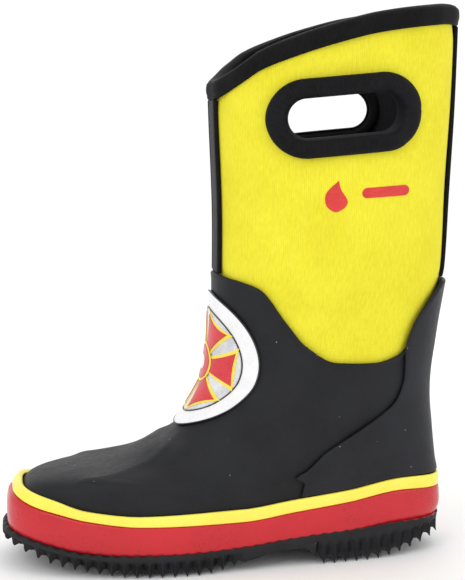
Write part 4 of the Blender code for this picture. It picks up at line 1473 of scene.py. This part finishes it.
    def _binding(self) -> bmesh.types.BMesh:
        """Padded binding folded over the top edge of both panels.

        Returns:
            The closed body.
        """
        skin = self.skin
        turns = skin.even_turns(self.binding_columns, 0.0)
        collar = skin.collar(skin.x_at(turns, skin.collar_level))
        inner = -self.neoprene - 0.0004
        high = self.binding_height
        section = []
        for angle in np.linspace(0.0, math.pi, self.binding_steps):
            swell = math.sin(angle) ** 0.6
            drop = high * (1 + math.cos(angle)) / 2 * 0.98 + 0.0002
            section.append((drop, self.nap + self.binding_swell * swell))
        section = [point for point in section if point[0] > 0.0012]
        section += [(0.0004, 0.0008), (-0.0001, -0.0006), (-0.0003, -0.0023), (-0.0001, -0.0040),
                    (0.0004, -0.0054)]
        for angle in np.linspace(0.5, math.pi, 9):
            stand = inner - 0.0002 - 0.0014 * math.sin(angle) ** 0.6
            section.append((high * (1 - math.cos(angle)) / 2, stand))
        section += [(high, inner), (0.0020, inner), (0.0020, 0.0004)]
        section.append(section[0])
        t = turns * 2 * math.pi
        wobble = 0.00022 * np.sin(9 * t + 0.4) + 0.00014 * np.sin(23 * t + 1.3)
        end_turns = ridge(np.minimum(turns, 1 - turns), 0.012) + ridge(turns - 0.5, 0.012)
        loops = []
        for drop, stand in section:
            free = float(stand > 0.0005 or stand < inner - 0.0003)
            tuck = 0.0003 * ridge(np.array(drop - 0.0072), 0.0008) * (stand > 0)
            stand = stand + (wobble + 0.0006 * end_turns) * free - tuck
            loops.append(skin.place(turns, collar - drop, stand))
        points = np.stack(loops, axis=0)
        points[:, -1] = points[:, 0]
        return wound(points)

    def _strip(self, seam: Seam, half_width: float, low: float, faces: tuple[float, float], roll: float,
               drop: float) -> bmesh.types.BMesh:
        """Strip over a seam.

        Args:
            seam: The seam that it covers.
            half_width: Half of its width.
            low: Height of its lower end.
            faces: Distances of its inner and outer face from the skin.
            roll: Width of the raised edges, or 0.
            drop: Distance of its upper end under the collar.

        Returns:
            The strip's body.
        """
        skin = self.skin
        columns, column_full = rounded_steps(2 * half_width, 0.0006, 26, 3)
        rows, row_full = rounded_steps(0.10, 0.0006, 70, 2)
        x_top = (skin.front, skin.back)[seam is Seam.BACK](skin.collar_level)
        high = float(skin.collar(x_top)) - drop
        z = low + (high - low) * rows[:, None] + 0 * columns[None, :]
        distance = (2 * columns[None, :] - 1) * half_width
        turn = skin.from_seam(seam, distance + 0 * z, z)
        full = column_full[None, :] * row_full[:, None]
        shape, groove = 0.0, 0.0003
        if roll:
            edge = half_width - np.abs(distance)
            shape = 0.0006 * ridge(edge - roll / 2, roll * 0.42)
            shape = shape - 0.0007 * ridge(edge - roll - groove, 0.0005)
        bm = skin.slab(turn, z, faces, full, shape * full)
        if roll:
            self._mark_edges(bm, half_width - roll - groove)
        return bm

    def _mark_edges(self, bm: bmesh.types.BMesh, reach: float) -> None:
        """Give the edges of a strip the second material.

        Args:
            bm: The strip's body.
            reach: Distance from the middle of the strip at which its edges start.
        """
        layer = bm.loops.layers.uv.verify()
        for face in bm.faces:
            across = sum(loop[layer].uv.x for loop in face.loops) / len(face.loops)
            if abs(across) > reach:
                face.material_index = 1

    def build(self) -> None:
        """Make and dress the pieces of the shaft."""
        get = self.finishes.get
        for side, name in ((Side.LATERAL, "outer"), (Side.MEDIAL, "inner")):
            node = side.name.lower()
            Piece(f"{name}_neoprene", self._panel(side), get("neoprene", "lining"), "neoprene",
                  [f"{node}_panel"], fill=1.0, sharp=60).place()
            Piece(f"{name}_handle_ring", self._rim(side), get("rim"), "rim", [f"{node}_handle_rim"],
                  fill=0.9, sharp=75).place()
        Piece("collar_roll", self._binding(), get("binding"), "binding", ["collar_binding"],
              fill=0.9, sharp=75).place()
        front_low = float(self.skin.shell_top(self.skin.shin_x)) + 0.0002
        front = self._strip(Seam.FRONT, self.strip_half_width, front_low, (0.0003, 0.0017),
                            self.strip_roll, self.strip_drop)
        Piece("front_seam_strip", front, get("strip", "binding"), "strip", ["front_strip"], sharp=60).place()
        back = self._strip(Seam.BACK, self.back_half_width, self.back_low, (0.0003, 0.0018),
                           self.back_roll, self.strip_drop)
        Piece("back_seam_strip", back, get("binding", "rim"), "binding", ["back_strip"], sharp=60).place()
        faces = (-self.neoprene - 0.0018, -self.neoprene - 0.0010)
        for seam in Seam:
            name = seam.name.lower()
            tape = self._strip(seam, self.tape_half_width, self.tape_low, faces, 0.0, self.tape_drop)
            Piece(f"{name}_inside_tape", tape, get("lining"), "lining", [f"{name}_seam_tape"],
                  sharp=60).place()


@dataclass
class Badge:
    """Round rubber badge on the instep with a plain rosette."""

    skin: Skin
    finishes: Finishes
    radius: float = 0.0365
    centre_height: float = 0.0960
    face: float = 0.0035
    base: float = 0.0030
    blades: int = 6
    border_radii: tuple[float, float] = (0.0085, 0.0262)
    border_spread: float = 0.430
    blade_radii: tuple[float, float] = (0.0096, 0.0248)
    blade_spread: float = 0.345
    hub_border: float = 0.0108
    hub: float = 0.0094
    hub_dot: float = 0.0040

    def _place(self, radius: np.ndarray, angle: np.ndarray, stand: np.ndarray) -> np.ndarray:
        """Points round the badge's centre, along the instep.

        Args:
            radius: Their distances from the centre.
            angle: Their directions, from straight up.
            stand: Their distances from the skin.

        Returns:
            The points.
        """
        skin = self.skin
        heights = np.linspace(0.040, 0.170, 521)
        line = skin.place(np.zeros(521), heights)
        run = np.concatenate(([0.0], np.cumsum(np.linalg.norm(np.diff(line, axis=0), axis=1))))
        centre = np.interp(self.centre_height, heights, run)
        height = np.interp(centre + radius * np.cos(angle), run, heights)
        return skin.place(skin.from_seam(Seam.FRONT, -radius * np.sin(angle), height), height, stand)

    def _ring(self, name: str, finish: str, radii: tuple[float, float], faces: tuple[float, float],
              edge: float = 0.0001, replaces: Sequence[str] = ()) -> None:
        """Make and dress one round layer.

        Args:
            name: Name of the piece.
            finish: Its finish.
            radii: Its inner and outer radius.
            faces: Distances of its faces from the skin.
            edge: Radius of its rounded edges.
            replaces: CAD nodes that it stands for.
        """
        Piece(name, self._disc(*radii, *faces, edge), self.finishes.get(finish), "badge", replaces).place()

    def _disc(self, inner: float, outer: float, low: float, high: float, edge: float) -> bmesh.types.BMesh:
        """Ring or disc between two radii and two distances from the skin.

        Args:
            inner: Inner radius, or 0 for a disc.
            outer: Outer radius.
            low: Distance of its back from the skin.
            high: Distance of its face from the skin.
            edge: Radius of its rounded edges.

        Returns:
            Its body.
        """
        angle = np.linspace(0.0, 2 * math.pi, 145)[None, :]
        steps = max(int((outer - inner) / 0.0012), 3)
        shares, full = rounded_steps(outer - inner, edge, steps, 3)
        if inner == 0.0:
            shares, full = shares[3:], full[3:]
            shares = (shares - shares[0]) / (1 - shares[0])
            full[0] = 1.0
        radius = (inner + (outer - inner) * shares)[:, None] + 0 * angle
        middle, half = (low + high) / 2, (high - low) / 2
        top = self._place(radius, angle + 0 * radius, middle + half * full[:, None])
        under = self._place(radius, angle + 0 * radius, middle - half * full[:, None])
        for sheet in (top, under):
            sheet[:, -1] = sheet[:, 0]
            if inner == 0.0:
                sheet[0] = sheet[0].mean(axis=0)
        return shelled(top, under)

    def _blade(self, turn: float, start: float, end: float, spread: float, low: float,
               high: float) -> bmesh.types.BMesh:
        """Flared blade of the rosette.

        Args:
            turn: Its direction from the centre.
            start: Radius at which it starts.
            end: Radius at which it ends.
            spread: Half of its angle at its end.
            low: Distance of its back from the skin.
            high: Distance of its face from the skin.

        Returns:
            Its body.
        """
        along, along_full = rounded_steps(end - start, 0.0003, 10, 2)
        across, across_full = rounded_steps(0.010, 0.0003, 8, 2)
        radius = (start + (end - start) * along)[:, None]
        waist = spread * (0.40 + 0.60 * along[:, None] ** 1.3)
        width = waist * (2 * across[None, :] - 1)
        bow = 0.0012 * (1 - (2 * across[None, :] - 1) ** 2) * along[:, None]
        reach = radius - bow
        angle = turn + np.arctan2(width * end, reach)
        full = along_full[:, None] * across_full[None, :]
        middle, half = (low + high) / 2, (high - low) / 2
        distance = np.hypot(reach, width * end)
        return shelled(self._place(distance, angle, middle + half * full),
                       self._place(distance, angle, middle - half * full))

    def build(self) -> None:
        """Make and dress the layers of the badge."""
        get, low, face, radius = self.finishes.get, self.base, self.face, self.radius
        self._ring("badge_disc", "badge_white", (0.0, radius), (low, face), 0.0004, ["badge"])
        self._ring("badge_outline", "badge_black", (radius - 0.0006, radius + 0.0002),
                   (low - 0.0003, face + 0.0002), 0.0002)
        self._ring("badge_line", "badge_black", (radius * 0.762, radius * 0.782),
                   (face + 0.00005, face + 0.0003))
        self._ring("badge_field", "silver", (0.0, radius * 0.755), (face + 0.00005, face + 0.00025))
        for index in range(self.blades):
            turn = 2 * math.pi * (index + 0.5) / self.blades
            border = self._blade(turn, *self.border_radii, self.border_spread, face + 0.0003, face + 0.00052)
            Piece(f"badge_blade_border_{index + 1}", border, get("badge_yellow"), "badge").place()
            blade = self._blade(turn, *self.blade_radii, self.blade_spread, face + 0.00056, face + 0.0008)
            Piece(f"badge_blade_{index + 1}", blade, get("badge_red"), "badge").place()
        self._ring("badge_hub_border", "badge_yellow", (0.0, self.hub_border),
                   (face + 0.00084, face + 0.00105))
        self._ring("badge_hub", "badge_red", (0.0, self.hub), (face + 0.00108, face + 0.0013))
        self._ring("badge_hub_dot", "badge_white", (0.0, self.hub_dot), (face + 0.00134, face + 0.0015))


@dataclass
class SidePrint:
    """Plain drop and bar printed on the outer panel."""

    skin: Skin
    finishes: Finishes
    hole: tuple[float, float]
    drop_shift: tuple[float, float] = (-0.0045, -0.0382)
    drop_height: float = 0.0150
    drop_width: float = 0.0108
    bar_shift: tuple[float, float] = (0.0200, -0.0362)
    bar_length: float = 0.0240
    bar_height: float = 0.0050
    low: float = 0.0005
    high: float = 0.0008

    def _raised(self, x: np.ndarray, z: np.ndarray, full: np.ndarray) -> bmesh.types.BMesh:
        """Thin body over a grid of places."""
        return self.skin.slab(self.skin.turn_at(Side.LATERAL, x, z), z, (self.low, self.high), full)

    def _flame(self) -> bmesh.types.BMesh:
        """Drop with its tip up.

        Returns:
            The closed body.
        """
        up, up_full = rounded_steps(self.drop_height, 0.0002, 26, 2)
        across, across_full = rounded_steps(self.drop_width, 0.0002, 14, 2)
        share = up[:, None]
        width = self.drop_width / 2 * np.sin(math.pi * share ** 0.72) * (1.12 - 0.35 * share)
        lean = 0.0011 * np.sin(2.4 * math.pi * share) * share
        x = self.hole[0] + self.drop_shift[0] + lean + width * (2 * across[None, :] - 1)
        z = self.hole[1] + self.drop_shift[1] + self.drop_height * (share - 0.5) + 0 * x
        return self._raised(x, z, up_full[:, None] * across_full[None, :])

    def _bar(self) -> bmesh.types.BMesh:
        """Bar with round ends, rising a little to the back.

        Returns:
            The closed body.
        """
        along, along_full = rounded_steps(self.bar_length, 0.0003, 36, 2)
        across, across_full = rounded_steps(self.bar_height, 0.0002, 8, 2)
        centre = (2 * along[None, :] - 1) * self.bar_length / 2
        flat = self.bar_length / 2 - self.bar_height / 2
        past = np.maximum(np.abs(centre) - flat, 0.0) / (self.bar_height / 2)
        half = self.bar_height / 2 * np.sqrt(np.maximum(1 - past ** 2, 0.02))
        x = self.hole[0] + self.bar_shift[0] + centre + 0 * across[:, None]
        z = self.hole[1] + self.bar_shift[1] + half * (2 * across[:, None] - 1) + 0.05 * centre
        return self._raised(x, z, across_full[:, None] * along_full[None, :])

    def build(self) -> None:
        """Make and dress the two marks."""
        get = self.finishes.get
        Piece("drop_mark", self._flame(), get("ink"), "print", ["flame_print"]).place()
        Piece("bar_mark", self._bar(), get("ink"), "print", ["bar_print"]).place()


@dataclass
class Inside:
    """Neoprene bootee and the loose footbed in it."""

    skin: Skin
    finishes: Finishes
    sock_face: float = -0.0016
    sock_wall: float = 0.0028
    sock_top: float = 0.0895
    sock_sole: float = 0.0020
    bed_offset: float = -0.0060
    bed_wall: float = 0.0032
    cover_wall: float = 0.0008
    heel_tuck: float = 0.0030
    tuck_start: float = -0.0128
    tuck_run: float = 0.0526
    gap: float = 0.0003

    def _sock_floor(self, x: np.ndarray) -> np.ndarray:
        """Height of the bootee's underside."""
        return self.skin.welt(x) + self.skin.filler(x) + self.gap + 0.0012 + self.gap

    def _bag(self, offset: float, floor_rise: float, rim: np.ndarray) -> np.ndarray:
        """Sheet down one side of the foot, across the floor and up the other side.

        Args:
            offset: Distance of the sheet from the skin.
            floor_rise: Height of the sheet's floor above the bootee's underside.
            rim: Distance of its upper edge from the skin.

        Returns:
            The sheet's points.
        """
        skin = self.skin
        share = 0.5 - 0.5 * np.cos(np.linspace(0.0, math.pi, 121))
        walls = []
        for turn in (share / 2, 1 - share / 2):
            floor = self._sock_floor(skin.x_at(turn, skin.sole_level)) + floor_rise
            steps = np.concatenate((np.linspace(0.0, 0.45, 16), np.linspace(0.45, 0.93, 34)[1:], [0.97, 1.0]))
            wall = []
            for at in steps:
                z = self.sock_top + (floor - self.sock_top) * at
                stand = offset + (rim - offset) * (at == 0.0)
                corner = 0.0012 * eased(np.array((at - 0.9) / 0.1))
                wall.append(skin.place(turn, z, stand - corner))
            walls.append(wall)
        left, right = walls
        across = [left[-1] + (right[-1] - left[-1]) * at for at in np.linspace(0.0, 1.0, 15)[1:-1]]
        return np.stack([*left, *across, *reversed(right)], axis=1)

    def _sock(self) -> bmesh.types.BMesh:
        """Body of the bootee.

        Returns:
            The closed body.
        """
        middle = self.sock_face - self.sock_wall / 2
        outer = self._bag(self.sock_face, 0.0, middle)
        inner = self._bag(self.sock_face - self.sock_wall, self.sock_sole, middle)
        return shelled(outer, inner)

    def _bed(self, low: float, high: float) -> bmesh.types.BMesh:
        """Plate that fills the floor of the bootee.

        Args:
            low: Height of its underside above the floor.
            high: Height of its top above the floor.

        Returns:
            The plate's body.
        """
        skin = self.skin
        share = 0.5 - 0.5 * np.cos(np.linspace(0.0, math.pi, 141))
        edges = []
        for turn in (share / 2, 1 - share / 2):
            point = skin.place(turn, np.full_like(turn, skin.sole_level), self.bed_offset)
            x = point[:, 0] - skin.shift[0]
            tuck = self.heel_tuck * eased((x - self.tuck_start) / self.tuck_run)
            y = point[:, 1] - skin.shift[1]
            point[:, 1] = skin.shift[1] + np.sign(y) * np.maximum(np.abs(y) - tuck, 0.0)
            edges.append(point)
        left, right = edges
        across, full = rounded_steps(0.066, 0.0010, 22, 3)
        rows_top, rows_low = [], []
        ends = np.minimum(1.0, np.sqrt(np.minimum(share, 1 - share) / 0.012))
        for at, fullness in zip(across, full):
            row = left + (right - left) * at
            x = row[:, 0] - skin.shift[0]
            floor = self._sock_floor(x) + self.sock_sole + self.gap
            middle, half = floor + (low + high) / 2, (high - low) / 2
            top, under = row.copy(), row.copy()
            top[:, 2] = middle + half * fullness * ends
            under[:, 2] = middle - half * fullness * ends
            rows_top.append(top)
            rows_low.append(under)
        return shelled(np.stack(rows_top), np.stack(rows_low))

    def build(self) -> None:
        """Make and dress the bootee and the footbed."""
        get = self.finishes.get
        Piece("bootee_lining", self._sock(), get("lining"), "lining", ["inner_sock"],
              fill=1.0, sharp=70).place()
        bed = self._bed(0.0, self.bed_wall)
        Piece("footbed_foam", bed, get("foam"), "foam", ["footbed"], Body.FOOTBED, 1.0).place()
        low = self.bed_wall + self.gap
        cover = self._bed(low, low + self.cover_wall)
        Piece("footbed_face", cover, get("lining"), "lining", ["footbed_cover"], Body.FOOTBED).place()


@dataclass
class Studio:
    """Pale floor, soft lights and the camera."""

    skin: Skin
    eye: tuple[float, float, float] = (-0.1091, -0.7517, 0.2319)
    aim: tuple[float, float, float] = (-0.0005, 0.0, 0.1325)
    lens: float = 95.28
    floor_reach: float = 3.0
    surroundings: float = 1.04
    lights: tuple[tuple[str, tuple[float, float, float], float, float], ...] = (
        ("key", (-0.55, -0.75, 0.80), 0.5, 1.8),
        ("fill", (0.75, -0.60, 0.40), 0.5, 0.6),
        ("back", (0.20, 0.80, 0.70), 0.8, 1.0),
    )

    def _light(self, name: str, place: Sequence[float], size: float, power: float) -> None:
        """Add a square soft light that faces the boot.

        Args:
            name: Its name.
            place: Where it is.
            size: Its side in metres.
            power: Its power in watts.
        """
        data = bpy.data.lights.new(name, "AREA")
        data.size = size
        data.energy = power
        light = bpy.data.objects.new(name, data)
        light.location = place
        ahead = Vector((0, 0, 0.12)) - Vector(place)
        light.rotation_euler = ahead.to_track_quat("-Z", "Y").to_euler()
        bpy.context.scene.collection.objects.link(light)

    def _world(self) -> None:
        """Even white surroundings."""
        world = bpy.data.worlds.new("surroundings")
        world.use_nodes = True
        back = world.node_tree.nodes["Background"]
        back.inputs["Color"].default_value = (1.0, 1.0, 1.0, 1.0)
        back.inputs["Strength"].default_value = self.surroundings
        bpy.context.scene.world = world

    def _floor(self) -> None:
        """Large pale floor under the boot."""
        bm = bmesh.new()
        bmesh.ops.create_grid(bm, x_segments=8, y_segments=8, size=self.floor_reach)
        mesh = bpy.data.meshes.new("studio_floor")
        bm.to_mesh(mesh)
        bm.free()
        g = Graph("floor_paper")
        where = g.coordinates()
        cloud = g.spread(g.noise(where, 3.0), 0.0, 1.0)
        colour = g.mix(cloud, (0.965, 0.965, 0.965), (0.985, 0.985, 0.985))
        mesh.materials.append(g.finish(colour, g.spread(g.noise(where, 300.0), 0.8, 0.95), []))
        floor = bpy.data.objects.new("studio_floor", mesh)
        bpy.context.scene.collection.objects.link(floor)

    def _camera(self) -> None:
        """Camera that looks at the outer side of the boot, a little from the toe."""
        data = bpy.data.cameras.new("camera")
        data.lens = self.lens
        camera = bpy.data.objects.new("camera", data)
        shift = Vector(self.skin.shift)
        place, aim = Vector(self.eye) + shift, Vector(self.aim) + shift
        camera.location = place
        camera.rotation_euler = (aim - place).to_track_quat("-Z", "Y").to_euler()
        bpy.context.scene.collection.objects.link(camera)
        bpy.context.scene.camera = camera

    def build(self) -> None:
        """Set up the studio."""
        bpy.context.scene.view_settings.view_transform = "Standard"
        self._world()
        self._floor()
        self._camera()
        for light in self.lights:
            self._light(*light)


def main() -> None:
    """Build the boot and its studio."""
    logging.basicConfig(level=logging.INFO, format="%(message)s")
    skin = Skin()
    Studio(skin).build()
    finishes = Finishes()
    Sole(skin, finishes).build()
    Shell(skin, finishes).build()
    shaft = Shaft(skin, finishes)
    shaft.build()
    Badge(skin, finishes).build()
    SidePrint(skin, finishes, shaft.hole).build()
    Inside(skin, finishes).build()


if __name__ == "__main__":
    main()
